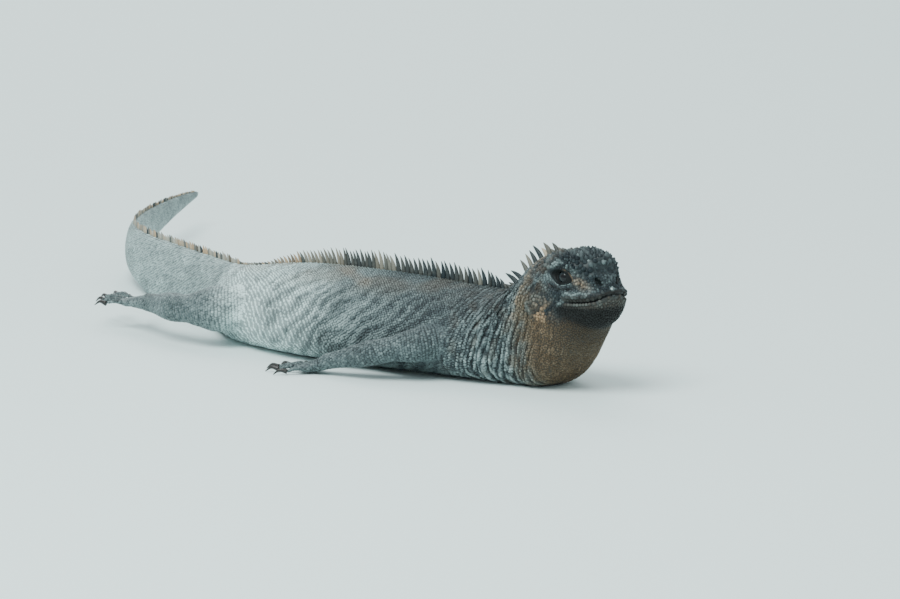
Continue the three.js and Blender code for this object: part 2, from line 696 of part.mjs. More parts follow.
function legParts(name, leg, leftSide, spread) {
  const path = limbPath(leg, leftSide, spread);
  const radius = profile(leg.radii);
  const limb = (from, to) =>
    solidFrom(loft(tubeRings(path, stations(from, to, 0.09), 12, (t) => [radius(t), radius(t)])));
  const share = GAP / path.getLength() / 2;
  const upper = largest(limb(0, leg.joint - share).subtract(besideLegs));
  const lower = limb(leg.joint + share, 1 - share);

  // The foot lies level behind the ankle: on the floor, or trailing at its lift above it
  const ankle = path.getPoint(1);
  const onward = path.getTangent(1).setZ(0).normalize();
  const outside = new THREE.Vector3(0, 0, leftSide ? -1 : 1).cross(onward);
  const { palm, lift } = leg;
  const knuckle = ankle.clone().addScaledVector(onward, palm.length).setZ(lift + TOE.base + 1);
  const palmCurve = new THREE.CatmullRomCurve3([
    ankle.clone().addScaledVector(path.getTangent(1), GAP),
    ankle.clone().addScaledVector(onward, palm.length * 0.45).setZ(lift + palm.thick + 1),
    knuckle,
  ]);
  const palmWidth = profile([[0, radius(1)], [0.5, palm.width * 0.82], [1, palm.width]]);
  const palmThick = profile([[0, radius(1)], [0.5, palm.thick], [1, TOE.base]]);
  const pieces = [
    solidFrom(loft(tubeRings(palmCurve, stations(0, 1, 0.25), 12, (t) => [palmWidth(t), palmThick(t)]))),
  ];
  const claws = [];
  leg.toes.forEach((toe, index) => {
    const root = knuckle
      .clone()
      .addScaledVector(onward, -toe.back - 5)
      .addScaledVector(outside, palm.width * toe.side * 0.82);
    const angle = THREE.MathUtils.degToRad(toe.turn);
    const direction = onward.clone().multiplyScalar(Math.cos(angle)).addScaledVector(outside, Math.sin(angle));
    const curve = new THREE.CatmullRomCurve3([
      root.clone().setZ(lift + TOE.base),
      root.clone().addScaledVector(direction, 5 + toe.length * 0.4).setZ(lift + TOE.base + TOE.rise),
      root.clone().addScaledVector(direction, 5 + toe.length).setZ(lift + TOE.tip),
    ]);
    const thick = (t) => TOE.base + (TOE.tip - TOE.base) * t;
    pieces.push(
      solidFrom(loft(tubeRings(curve, [0, 0.4, 0.75, 1], TOE.sides, (t) => [thick(t), thick(t)]))),
    );
    const tip = curve.getPoint(1);
    const ahead = curve.getTangent(1);
    const level = ahead.clone().setZ(0).normalize();
    const clawCurve = new THREE.CatmullRomCurve3([
      tip.clone().addScaledVector(ahead, -1),
      tip.clone().addScaledVector(level, CLAW.length * 0.5).setZ(lift + TOE.tip + 1.5),
      tip.clone().addScaledVector(level, CLAW.length).setZ(lift + 0.5),
    ]);
    const clawSize = (t) => [CLAW.width * (1 - 0.9 * t), (CLAW.width + 0.2) * (1 - 0.86 * t)];
    const claw = solidFrom(loft(tubeRings(clawCurve, [0, 0.5, 1], CLAW.sides, clawSize)));
    claws.push([`${name}_claw_${index + 1}`, claw.subtract(behind(tip, ahead))]);
  });
  const foot = aboveFloor(joined(pieces).subtract(behind(ankle, path.getTangent(1))));
  return [
    [`${name}_upper`, upper],
    [`${name}_lower`, aboveFloor(lower)],
    [`${name}_foot`, foot],
    ...claws.map(([label, claw]) => [label, largest(claw.subtract(BELOW_FLOOR))]),
  ];
}

// Materials
const finish = (color, roughness) => new THREE.MeshStandardMaterial({ color, roughness, metalness: 0 });
const SKIN = finish(0x4b4f50, 0.72);
const HEAD_SKIN = finish(0x3f4140, 0.7);
const THROAT_SKIN = finish(0x5a4c3f, 0.75);
const EYE_BROWN = finish(0x1d1611, 0.15);
const CLAW_HORN = finish(0x1c1b1a, 0.4);

// The model, with its origin in the middle of its footprint on the floor
const random = randomStream(SEED);
const parts = [
  ["head", skull(random), HEAD_SKIN],
  ["lower_jaw", largest(headBlock.intersect(jawVolume())), HEAD_SKIN],
  ["eye_left", eyeball(true), EYE_BROWN],
  ["eye_right", eyeball(false), EYE_BROWN],
  ["neck", neck(random), THROAT_SKIN],
  ["torso", torso(random), SKIN],
];
TAIL_CUTS.slice(1).forEach((end, i) => {
  parts.push([`tail_${i + 1}`, tailLength(TAIL_CUTS[i], end, random), SKIN]);
});
const LEGS = [
  ["fore_leg_right", FORE_LEG, false, 0],
  ["fore_leg_left", FORE_LEG, true, 0],
  ["hind_leg_right", HIND_LEG, false, 0],
  ["hind_leg_left", HIND_LEG, true, LEFT_HIND_SPREAD],
];
for (const [name, leg, leftSide, spread] of LEGS)
  for (const [label, solid] of legParts(name, leg, leftSide, spread))
    parts.push([label, solid, label.includes("claw") ? CLAW_HORN : SKIN]);

const iguana = new THREE.Group();
for (const [name, solid, material] of parts) {
  const mesh = new THREE.Mesh(geometryFrom(tidied(solid)), material);
  mesh.name = name;
  iguana.add(mesh);
}
const middle = new THREE.Box3().setFromObject(iguana).getCenter(new THREE.Vector3());
iguana.position.set(-middle.x, -middle.y, 0);

export default iguana;
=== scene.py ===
import json
import math
from types import SimpleNamespace

import bmesh
import bpy
import numpy as np
from mathutils import Matrix, Vector
from mathutils.bvhtree import BVHTree
from mathutils.kdtree import KDTree

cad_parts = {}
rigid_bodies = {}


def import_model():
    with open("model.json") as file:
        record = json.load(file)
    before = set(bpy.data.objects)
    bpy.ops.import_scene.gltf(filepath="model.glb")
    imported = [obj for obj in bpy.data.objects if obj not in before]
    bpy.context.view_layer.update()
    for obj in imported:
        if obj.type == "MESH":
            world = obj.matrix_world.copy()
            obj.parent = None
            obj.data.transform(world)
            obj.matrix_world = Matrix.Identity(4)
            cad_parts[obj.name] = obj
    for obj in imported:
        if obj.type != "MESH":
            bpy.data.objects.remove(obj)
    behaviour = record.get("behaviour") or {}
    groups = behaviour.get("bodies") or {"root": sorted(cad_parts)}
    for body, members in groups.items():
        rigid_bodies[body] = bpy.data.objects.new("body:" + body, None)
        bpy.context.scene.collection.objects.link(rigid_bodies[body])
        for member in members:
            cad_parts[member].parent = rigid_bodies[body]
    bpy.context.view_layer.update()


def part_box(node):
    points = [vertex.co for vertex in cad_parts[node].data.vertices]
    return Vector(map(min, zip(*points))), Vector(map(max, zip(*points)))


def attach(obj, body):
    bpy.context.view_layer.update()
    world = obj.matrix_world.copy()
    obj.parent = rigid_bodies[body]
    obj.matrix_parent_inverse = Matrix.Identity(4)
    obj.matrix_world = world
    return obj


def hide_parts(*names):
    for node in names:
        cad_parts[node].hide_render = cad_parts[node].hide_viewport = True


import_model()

MM = 0.001
SEED = 7
chance = np.random.default_rng(SEED)

# Places along the spine, millimetres back from the snout tip
LIP_END = 31
OCCIPUT = 76
BACK_CREST_START = 134
SHOULDERS = 152
HIPS = 376
VENT = 400
TAIL_TIP = 1000
NOSE_ROUNDING = 10
TIP_ROUNDING = 12
FLOOR_SINK = 0.8

# How deep the skin lies under the scales, and its least height over the floor
SCALE_DEPTH = 0.5
SKIN_CLEARANCE = 0.35


def profile(points):
    """A smooth curve through (station, value) points that never overshoots them."""
    x, y = np.array(points, float).T
    steps = np.diff(y) / np.diff(x)
    product = steps[:-1] * steps[1:]
    total = np.where(product > 0, steps[:-1] + steps[1:], 1)
    inner = np.where(product > 0, 2 * product / total, 0)
    slopes = np.concatenate([steps[:1], inner, steps[-1:]])

    def value(s):
        s = np.clip(s, x[0], x[-1])
        i = np.clip(np.searchsorted(x, s, side="right") - 1, 0, len(x) - 2)
        span = x[i + 1] - x[i]
        t = (s - x[i]) / span
        rise = t * t * (3 - 2 * t)
        lean = slopes[i] * t * (1 - t) ** 2 - slopes[i + 1] * t * t * (1 - t)
        return y[i] * (1 - rise) + y[i + 1] * rise + span * lean

    return value


half_width = profile((
    (0, 16), (10, 19.5), (20, 22.5), (30, 25.5), (40, 28.5), (52, 32), (64, 34), (76, 36),
    (90, 39), (104, 44), (125, 50), (152, 54), (200, 58), (250, 59), (300, 56), (345, 47),
    (376, 37), (400, 28), (440, 19.5), (500, 14.5), (600, 11), (700, 8.6), (800, 6.4),
    (900, 4.2), (1000, 1.8),
))
top_height = profile((
    (0, 88), (4, 93), (8, 101.5), (12, 108), (17, 111.5), (26, 114), (38, 115), (52, 114),
    (64, 111.5), (76, 108), (86, 104), (95, 98), (104, 90.5), (112, 82.5), (120, 76),
    (130, 73), (150, 73), (200, 74.7), (250, 75.6), (300, 75), (350, 71.5), (375, 67.5),
    (400, 63.8), (440, 60), (500, 57.5), (560, 55.5), (620, 53), (700, 50), (780, 47),
    (860, 43), (930, 38.5), (1000, 32),
))
bottom_height = profile((
    (0, 64), (6, 60.5), (14, 56), (22, 50), (30, 42), (40, 30), (50, 18), (60, 8.5),
    (70, 2.5), (80, -FLOOR_SINK), (560, -FLOOR_SINK), (610, 0.8), (700, 7), (800, 15),
    (900, 22), (1000, 27),
))
widest_height = profile((
    (0, 83), (20, 82), (40, 76), (50, 68), (60, 58), (70, 50), (86, 41), (104, 35),
    (140, 31), (250, 29), (376, 28), (440, 26), (500, 25), (620, 24), (700, 25.5),
    (800, 29), (900, 30.5), (1000, 29.5),
))
top_power = profile((
    (0, 2.4), (40, 2.9), (70, 2.4), (100, 2), (150, 1.75), (300, 1.8), (400, 1.7), (1000, 1.7),
))
belly_power = profile((
    (0, 2.2), (20, 2.4), (34, 3.2), (60, 3.4), (90, 2.9), (330, 2.8), (400, 2.4), (1000, 2.2),
))
heading = profile((
    (0, -14), (76, -14), (112, -8), (150, 0), (370, 0), (400, -20), (425, -32), (470, -31),
    (540, -30), (620, -33), (690, -43), (750, -57), (840, -64), (1000, -66),
))
mouth_height = profile((
    (-14, 86), (0, 85), (2, 83.4), (5, 80.8), (8, 79.8), (15, 78.4), (26, 77.4), (36, 78), (42, 79),
))

# Swellings and hollows of the head: station, height, reach along, reach up, how far out
HEAD_RELIEF = (
    (40, 108, 15, 6, 3.2),
    (36, 97, 8.5, 6.5, -4.2),
    (21, 98, 7, 8, -1.2),
    (5, 95.5, 8, 8, -6),
    (27, 83.5, 20, 4, 2.2),
    (25, 74, 17, 4.5, 1.5),
    (57, 92, 9, 12, 2.2),
    (62, 74, 12, 9, 4.2),
    (48, 60, 14, 12, 2.4),
)
# The snout's boss and the hollow front of the face, in the same columns
SNOUT_RELIEF = ((14.5, 113, 5.5, 4.5, 3.8), (9, 104, 4.5, 6, -2.6), (4.5, 105.5, 3.6, 5, -2.3))
BROW_RELIEF = ((33, 106.5, 12, 3.2, 1.4),)
EYE_STATION, EYE_HEIGHT, EYE_RADIUS, EYE_INSET = 37, 96.5, 6.8, 4.0
NOSTRIL_STATION, NOSTRIL_HEIGHT, NOSTRIL_SIZE = 8, 95.4, (2.1, 2.0)
EAR_STATION, EAR_HEIGHT, EAR_SIZE = 63, 84, (3.6, 4.8)
LID_LONG, LID_TALL, LID_TILT, LID_POINT = 11.4, 6.7, 11, 1.3
NECK_FOLD_START, NECK_FOLD_END, NECK_FOLD_PITCH, NECK_FOLD_HEIGHT = 78, 142, 12.8, 1.7

plan_angles = np.radians(heading(np.arange(TAIL_TIP + 20) + 0.5))
plan_steps = -np.stack([np.cos(plan_angles), np.sin(plan_angles)], 1)
plan = np.concatenate([[[VENT, 0]], [[VENT, 0]] + np.cumsum(plan_steps, 0)])


def columns(*parts):
    """Numbers and lists of one length, side by side as the columns of one array."""
    return np.stack(np.broadcast_arrays(*parts), -1).astype(float)


def unit(vectors):
    return vectors / np.maximum(np.linalg.norm(vectors, axis=-1, keepdims=True), 1e-9)


def gap(points, place):
    return np.linalg.norm(points - place, axis=-1)


def bell(x):
    """A smooth bump, 1 at the middle and near 0 two units away."""
    return np.exp(-(x**2))


def eased(x, low, high):
    """A smooth rise from 0 at the low end to 1 at the high end."""
    t = np.clip((x - low) / (high - low), 0, 1)
    return t * t * (3 - 2 * t)


def stretch_of(x, start, full, fading, end):
    """A smooth rise to 1 and a fall back to 0, between four places."""
    return eased(x, start, full) * (1 - eased(x, fading, end))


def mottle(points, size, seed, waves=14):
    """A smooth random pattern from about -1 to 1 through space, with blotches of a given size."""
    draw = np.random.default_rng(seed)
    directions = unit(draw.normal(size=(waves, 3)))
    lengths = size * draw.uniform(0.7, 1.6, waves)
    phases = draw.uniform(0, 2 * np.pi, waves)
    total = np.zeros(points.shape[:-1])
    for direction, length, phase in zip(directions, lengths, phases):
        total += np.cos(points @ direction * (2 * np.pi / length) + phase)
    return total / math.sqrt(waves)


def spine_at(s):
    """The spine's place in the plan, with the forward and left directions there."""
    s = np.asarray(s, float)
    clamped = np.maximum(s, 0)
    i = np.floor(clamped).astype(int)
    share = (clamped - i)[..., None]
    angle = np.radians(heading(s))
    forward = columns(np.cos(angle), np.sin(angle), 0)
    left = columns(-np.sin(angle), np.cos(angle), 0)
    point = plan[i] * (1 - share) + plan[i + 1] * share
    base = columns(point[..., 0], point[..., 1], 0) + forward * (clamped - s)[..., None]
    return base, forward, left


def signed_power(x, power):
    return np.sign(x) * np.abs(x) ** power


def end_rounding(s):
    nose = np.clip(s / NOSE_ROUNDING, 0, 1)
    tip = np.clip((TAIL_TIP - s) / TIP_ROUNDING, 0, 1)
    return np.sqrt((1 - (1 - nose) ** 2) * (1 - (1 - tip) ** 2))


def swelling(rows, s, height):
    """How far a list of swellings and hollows stands out at stations and heights."""
    return sum(out * bell((s - at) / along) * bell((height - level) / up)
               for at, level, along, up, out in rows)


def relief(s, height):
    """The head's broad forms and the neck's broad folds."""
    share = np.clip((s - NECK_FOLD_START) / (NECK_FOLD_END - NECK_FOLD_START), 0, 1)
    wave = np.cos(2 * np.pi * (s - NECK_FOLD_START) / NECK_FOLD_PITCH)
    head = swelling(HEAD_RELIEF, s, height) * (s < OCCIPUT + 20)
    return head + NECK_FOLD_HEIGHT * wave * np.sin(np.pi * share)


def skin_point(s, degrees, grown=0.0):
    """Points of the bare body, with outward and forward directions; 0 is the left side, 90 the back."""
    s, degrees = np.broadcast_arrays(np.asarray(s, float), np.asarray(degrees, float))
    base, forward, left = spine_at(s)
    shrink = end_rounding(s)
    middle = widest_height(s)
    width = np.maximum(half_width(s) * shrink, 0.01) + grown
    up = np.maximum((top_height(s) - middle) * shrink, 0.01) + grown
    down = np.maximum((middle - bottom_height(s)) * shrink, 0.01) + grown
    angle = np.radians(degrees)
    cosine, sine = np.cos(angle), np.sin(angle)
    power = np.where(sine >= 0, top_power(s), belly_power(s))
    reach = np.where(sine >= 0, up, down)
    side = width * signed_power(cosine, 2 / power)
    height = middle + reach * signed_power(sine, 2 / power)
    normal = unit(columns(cosine / width, sine / reach))
    swell = relief(s, height) * shrink * np.abs(normal[..., 0]) ** 0.5
    point = base + left * (side + normal[..., 0] * swell)[..., None]
    point[..., 2] = height + normal[..., 1] * swell
    outward = left * normal[..., :1]
    outward[..., 2] = normal[..., 1]
    return point, outward, forward


def skin_at_height(s, height, left_side):
    """The skin's point on one side at a given height, found by halving."""
    low, high = -89.0, 89.0
    for _ in range(30):
        middle = (low + high) / 2
        if skin_point(s, middle)[0][2] < height:
            low = middle
        else:
            high = middle
    return skin_point(s, low if left_side else 180 - low)


# Each section's girth is walked from the back round to the belly, so that points spread evenly
WALK_STATIONS = np.arange(0.0, TAIL_TIP + 1.0)
WALK_ANGLES = np.linspace(0, 180, 361)
EVEN_SHARES = np.linspace(0, 1, 181)
walk_points = skin_point(WALK_STATIONS[:, None], 90 - WALK_ANGLES[None, :])[0]
walk_steps = np.linalg.norm(np.diff(walk_points, axis=1), axis=2)
walk_length = np.concatenate([np.zeros((len(WALK_STATIONS), 1)), np.cumsum(walk_steps, 1)], 1)
even_angles = np.stack(
    [np.interp(EVEN_SHARES, row / max(row[-1], 1e-6), WALK_ANGLES) for row in walk_length]
)


def half_girth(s):
    return np.interp(s, WALK_STATIONS, walk_length[:, -1])


def girth_angle(s, share):
    """The section angle at an even share of the girth: 0 the back, 1 the belly, minus on the right."""
    i = np.clip(np.floor(s).astype(int), 0, TAIL_TIP - 1)
    along = np.clip(s - i, 0, 1)
    place = np.clip(np.abs(share), 0, 1) * (len(EVEN_SHARES) - 1)
    j = np.clip(np.floor(place).astype(int), 0, len(EVEN_SHARES) - 2)
    across = place - j
    near = even_angles[i, j] * (1 - across) + even_angles[i, j + 1] * across
    far = even_angles[i + 1, j] * (1 - across) + even_angles[i + 1, j + 1] * across
    return 90 - np.sign(share) * (near * (1 - along) + far * along)


def under_scales(s, share):
    """The skin under the scales at stations and girth shares, with its directions."""
    return skin_point(s, girth_angle(s, share), -SCALE_DEPTH)


def on_both_sides(station, height):
    return [skin_at_height(station, height, left_side) for left_side in (True, False)]


def eye_place(point, outward, forward):
    """The eyeball's middle, inside the head, with its outward and forward directions."""
    flat = unit(outward * np.array([1, 1, 0.4]))
    return point - flat * EYE_INSET, flat, forward


EYES = [eye_place(*spot) for spot in on_both_sides(EYE_STATION, EYE_HEIGHT)]
NOSTRILS = on_both_sides(NOSTRIL_STATION, NOSTRIL_HEIGHT)
EARS = on_both_sides(EAR_STATION, EAR_HEIGHT)
RIGHT_EYE = EYES[1][0]
SHIFT = np.mean(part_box("eye_right"), axis=0) - RIGHT_EYE * MM


def placed(points):
    """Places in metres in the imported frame, from millimetres in the animal's own."""
    return np.asarray(points) * MM + SHIFT


def side_axes(outward, forward, tilt=0):
    """Level and upright directions on the head's side; a tilt lowers their front, in degrees."""
    up = unit(np.cross(outward, forward))
    up = up * (1 if up[2] > 0 else -1)
    ahead = unit(forward - outward * (forward @ outward))
    cosine, sine = math.cos(math.radians(tilt)), math.sin(math.radians(tilt))
    return ahead * cosine - up * sine, up * cosine + ahead * sine


def on_axes(points, centre, axes):
    """How far points lie from a centre along each of two axes."""
    return ((points - centre) @ axis for axis in axes)


def oval_distance(points, centre, axes, size):
    """How far points are from a place, as a share of an oval's half length and half height."""
    along, up = on_axes(points, centre, axes)
    return np.sqrt((along / size[0]) ** 2 + (up / size[1]) ** 2)


def lid_distance(points, centre, outward, forward):
    """How far points are from the eye's middle, as a share of the lids' pointed oval."""
    along, up = on_axes(points, centre, side_axes(outward, forward, LID_TILT))
    across, over = along / LID_LONG, up / LID_TALL
    return np.sqrt(across**2 + over**2 * (1 + LID_POINT * across**2))


def lid_radius(angle):
    """The reach of the lids' pointed oval at an angle, as a share of its half length and half height."""
    both = LID_POINT * (math.sin(angle) * math.cos(angle)) ** 2
    return 1 if both < 1e-6 else math.sqrt((math.sqrt(1 + 4 * both) - 1) / (2 * both))


def corner_fold(s, above):
    """How far places lie behind the fold that rounds the mouth's corner."""
    return s - LIP_END - 2 + 0.75 * above


def mouth_relief(s, above):
    """The mouth's slit, its lips and the fold round its corner; above is the height over the slit."""
    slit = 1 - eased(s, LIP_END - 8, LIP_END)
    lip = 1 - eased(s, LIP_END - 3, LIP_END + 6)
    fold = corner_fold(s, above)
    out = lip * (1.1 * bell((above - 3.9) / 2.6) + 0.6 * bell((above + 2.2) / 1.5))
    out += bell((above + 1) / 6) * (1.5 * bell(fold / 2) - 0.9 * bell((fold - 4) / 2))
    return out - 2.1 * slit * bell(above / 0.8)


def opening_relief(points):
    """The hollows and rims of nostrils, ears and eye sockets, with the fold under each eye."""
    out = np.zeros(len(points))
    for centre, outward, forward in NOSTRILS:
        far = oval_distance(points, centre, side_axes(outward, forward), NOSTRIL_SIZE)
        near = gap(points, centre) < 12
        out += near * (0.9 * bell((far - 1.7) / 0.5) - 4 * (1 - eased(far, 0.6, 1.15)))
    for centre, outward, forward in EARS:
        far = oval_distance(points, centre, side_axes(outward, forward), EAR_SIZE)
        near = gap(points, centre) < 16
        out += near * (0.5 * bell((far - 1.35) / 0.3) - 1.3 * bell(far / 0.75))
    for centre, outward, forward in EYES:
        under = eased(-(points - centre)[:, 2], 0, 4)
        far = lid_distance(points, centre, outward, forward)
        near = gap(points, centre) < 22
        out += near * (0.6 * bell((far - 1.14) / 0.16) - 3.2 * (1 - eased(far, 0.62, 0.98)))
        out += near * under * (0.8 * bell((far - 1.42) / 0.13) - 1.1 * bell((far - 1.7) / 0.12))
    return out


def neck_folds(points, s):
    """Upright folds of loose skin on the neck, from -1 in the furrows to 1."""
    lean = s + 0.3 * points[:, 2]
    wave = 0.65 * np.cos(2 * np.pi * lean / 4.9 + 1.8 * mottle(points, 26, 21))
    return wave + 0.35 * np.cos(2 * np.pi * lean / 8.3 + 2.6 * mottle(points, 17, 22))


def wrinkle_relief(s, points):
    """The neck's folds, the flank's slanting wrinkles and the throat's fine ones."""
    height = points[:, 2]
    wobble = mottle(points, 26, 21)
    neck = stretch_of(s, 57, 68, 138, 176) * (1 - eased(height, 78, 92))
    flank = stretch_of(s, 150, 190, 380, 460)
    throat = stretch_of(s, 20, 40, 56, 66) * eased(70 - height, 0, 12)
    out = neck * 1.15 * neck_folds(points, s)
    out += flank * 0.35 * np.cos(2 * np.pi * (s + 1.1 * height + 5 * wobble) / 14)
    return out + throat * 0.3 * np.cos(2 * np.pi * (s + 0.35 * height + 3 * wobble) / 4.6)


def fine_relief(s, points, normals):
    """How far the finer forms stand out: lips, nostrils, ears, eye sockets, folds and wrinkles."""
    height = points[:, 2]
    side = np.clip(np.hypot(normals[:, 0], normals[:, 1]), 0, 1)
    out = mouth_relief(s, height - mouth_height(s)) + wrinkle_relief(s, points)
    out = side * (out + swelling(BROW_RELIEF, s, height))
    out += swelling(SNOUT_RELIEF, s, height) - 3.2 * bell((s - 102) / 14) * eased(height, 44, 66)
    return (out + opening_relief(points)) * eased(height, 1.5, 5)


def new_mesh(name, points, faces):
    """A mesh in metres from points in millimetres, shaded smooth."""
    mesh = bpy.data.meshes.new(name)
    mesh.from_pydata(placed(points).tolist(), [], faces)
    mesh.polygons.foreach_set("use_smooth", np.ones(len(mesh.polygons), bool))
    mesh.update()
    return mesh


def new_piece(name, data):
    piece = bpy.data.objects.new(name, data)
    bpy.context.scene.collection.objects.link(piece)
    return piece


def add_marks(mesh, marks, kind="FLOAT"):
    """Gives a mesh named numbers, or named triples of them, one for each point."""
    for label, values in marks.items():
        field = "value" if kind == "FLOAT" else "vector"
        mesh.attributes.new(label, kind, "POINT").data.foreach_set(field, np.ravel(values))


def mesh_arrays(mesh):
    """Places in millimetres, normals and edges of a mesh."""
    count = len(mesh.vertices)
    points, normals = np.zeros(count * 3), np.zeros(count * 3)
    edges = np.zeros(len(mesh.edges) * 2, int)
    mesh.vertices.foreach_get("co", points)
    mesh.vertices.foreach_get("normal", normals)
    mesh.edges.foreach_get("vertices", edges)
    return (points.reshape(-1, 3) - SHIFT) / MM, normals.reshape(-1, 3), edges.reshape(-1, 2)


def move_points(mesh, points):
    """Gives a skin's points new places, kept just over the floor."""
    points[:, 2] = np.maximum(points[:, 2], SKIN_CLEARANCE)
    mesh.vertices.foreach_set("co", placed(points).ravel())
    mesh.update()


def ring_faces(start, next_start, count, next_count):
    """Faces between two rings; the second may have half as many points."""
    faces = []
    step = count // next_count
    for i in range(next_count):
        a = start + i * step
        b = start + (i * step + step) % count
        c = next_start + i
        d = next_start + (i + 1) % next_count
        if step == 1:
            faces.append([a, b, d, c])
        else:
            middle = a + 1
            faces.extend([[a, middle, c], [middle, d, c], [middle, b, d]])
    return faces


def closed_tube(rings):
    """Points and faces of a closed form through rings, whose counts may halve along it."""
    counts = [len(ring) for ring in rings]
    starts = [sum(counts[:r]) for r in range(len(rings) + 1)]
    faces = []
    for r in range(len(rings) - 1):
        faces += ring_faces(starts[r], starts[r + 1], counts[r], counts[r + 1])
    for end, centre, flip in ((0, starts[-1], True), (len(rings) - 1, starts[-1] + 1, False)):
        for i in range(counts[end]):
            a, b = starts[end] + i, starts[end] + (i + 1) % counts[end]
            faces.append([b, a, centre] if flip else [a, b, centre])
    points = np.concatenate([*rings, [rings[0].mean(0), rings[-1].mean(0)]])
    corners = np.array([[f[0], f[i], f[i + 1]] for f in faces for i in range(1, len(f) - 1)])
    a, b, c = (points[corners[:, k]] for k in range(3))
    inside_out = (np.cross(a, b) * c).sum() < 0
    return points, [face[::-1] for face in faces] if inside_out else faces


# The body: one grid from the snout to the tail tip, finest at the head
HEAD_SIDES, TRUNK_SIDES, TAIL_SIDES = 224, 112, 56
HEAD_GRID_END, TAIL_GRID_START = 128, 470


def body_stations():
    nose = np.array([0.02, 0.12, 0.3, 0.6, 1.0, 1.5, 2.1, 2.7])
    head = np.arange(3.3, 56, 0.62)
    neck = np.arange(56, HEAD_GRID_END, 1.1)
    trunk = np.arange(HEAD_GRID_END, TAIL_GRID_START, 2.6)
    tail = np.arange(TAIL_GRID_START, TAIL_TIP - 12, 3.2)
    tip = TAIL_TIP - np.array([12, 10, 8, 6, 4.2, 2.8, 1.6, 0.8, 0.3, 0.06])
    return np.concatenate([nose, head, neck, trunk, tail, tip])


def body_form():
    """Points and faces of the bare body, and the station of each point."""
    rings, stations = [], []
    for s in body_stations():
        sides = HEAD_SIDES if s < HEAD_GRID_END else TRUNK_SIDES if s < TAIL_GRID_START else TAIL_SIDES
        share = 1 - (np.arange(sides) / sides * 2 + 1) % 2
        rings.append(under_scales(np.full(sides, s), share)[0])
        stations += [s] * sides
    return *closed_tube(rings), np.array(stations + [0, TAIL_TIP])


body_points, body_faces, body_s = body_form()
skin = new_piece("skin", new_mesh("body_form", body_points, body_faces))
body_normals = mesh_arrays(skin.data)[1]
body_points = body_points + body_normals * fine_relief(body_s, body_points, body_normals)[:, None]
move_points(skin.data, body_points)

# The legs: joints as (back from the girdle, out from the middle, height), radii as (share of the
# limb, radius), the palm's length, width and thickness, and each toe's turn, setback, place
# across the palm and length
HIND_LEG = dict(
    girdle=HIPS,
    lift=18,
    bend=((0, 16, 33), (-26, 36, 32), (-52, 42, 30), (-84, 33, 28), (-114, 20, 26)),
    radii=((0, 13), (0.1, 18), (0.25, 19), (0.42, 14), (0.52, 11.5), (0.64, 12), (0.85, 8.5), (1, 7.4)),
    palm=(27, 12.5, 5.2),
    toes=((30, 4, 0.86, 17), (15, 0, 0.48, 26), (5, -1, 0.05, 36), (-6, 0, -0.4, 44), (-26, 9, -0.8, 25)),
)
FORE_LEG = dict(
    girdle=SHOULDERS,
    lift=0,
    bend=((0, 30, 34), (-22, 57, 30), (-46, 73, 25), (-76, 79, 17), (-104, 82, 10)),
    radii=((0, 10), (0.12, 13.5), (0.3, 14), (0.47, 10), (0.6, 10.5), (0.88, 7), (1, 6.4)),
    palm=(18, 11.5, 5),
    toes=((34, 5, 0.86, 14), (17, 1, 0.46, 20), (3, 0, 0.03, 24), (-12, 1, -0.44, 22), (-30, 5, -0.86, 14)),
)
LEFT_HIND_SPREAD = 50
TOE_BASE, TOE_TIP, TOE_RISE, TOE_SCALE_DEPTH = 3.5, 2.5, 2.6, 0.35
CLAW_LENGTH, CLAW_WIDTH, CLAW_CLEARANCE = 10.5, 2.1, 0.1
LEGS = (
    ("fore_leg_right", FORE_LEG, False, 0),
    ("fore_leg_left", FORE_LEG, True, 0),
    ("hind_leg_right", HIND_LEG, False, 0),
    ("hind_leg_left", HIND_LEG, True, LEFT_HIND_SPREAD),
)
LEVEL = np.array([1, 1, 0])


def at_height(point, height):
    return point * LEVEL + [0, 0, height]


def curve_through(points):
    """A centripetal curve through points: a function from shares of it to places."""
    points = np.array(points, float)
    padded = np.vstack([2 * points[0] - points[1], points, 2 * points[-1] - points[-2]])

    def at(t):
        place = np.clip(t, 0, 1) * (len(points) - 1)
        i = np.clip(np.floor(place).astype(int), 0, len(points) - 2)
        w = (place - i)[..., None]
        before, here, there, after = (padded[i + k] for k in range(4))
        gaps = [np.sqrt(np.linalg.norm(b - a, axis=-1, keepdims=True))
                for a, b in ((before, here), (here, there), (there, after))]
        start = (here - before) / gaps[0] - (there - before) / (gaps[0] + gaps[1]) + (there - here) / gaps[1]
        end = (there - here) / gaps[1] - (after - here) / (gaps[1] + gaps[2]) + (after - there) / gaps[2]
        start, end = start * gaps[1], end * gaps[1]
        return (here + start * w + (3 * (there - here) - 2 * start - end) * w**2
                + (2 * (here - there) + start + end) * w**3)

    return at


def direction_of(curve, t):
    t = np.asarray(t, float)
    return unit(curve(np.clip(t + 1e-3, 0, 1)) - curve(np.clip(t - 1e-3, 0, 1)))


def tube_point(curve, sizes, t, degrees):
    """Points and outward directions of a level oval tube round a curve."""
    t, degrees = np.broadcast_arrays(np.asarray(t, float), np.asarray(degrees, float))
    ahead = direction_of(curve, t)
    level = unit(np.cross([0, 0, 1], ahead))
    up = np.cross(ahead, level)
    wide, tall = sizes(t)
    cosine, sine = np.cos(np.radians(degrees)), np.sin(np.radians(degrees))
    point = curve(t) + level * (wide * cosine)[..., None] + up * (tall * sine)[..., None]
    outward = unit(level * (cosine / wide)[..., None] + up * (sine / tall)[..., None])
    return point, outward, ahead


def tube_form(curve, sizes, count, sides):
    places = np.linspace(0, 1, count)
    shares = np.arange(sides) * 360 / sides
    return closed_tube(list(tube_point(curve, sizes, places[:, None], shares[None, :])[0]))


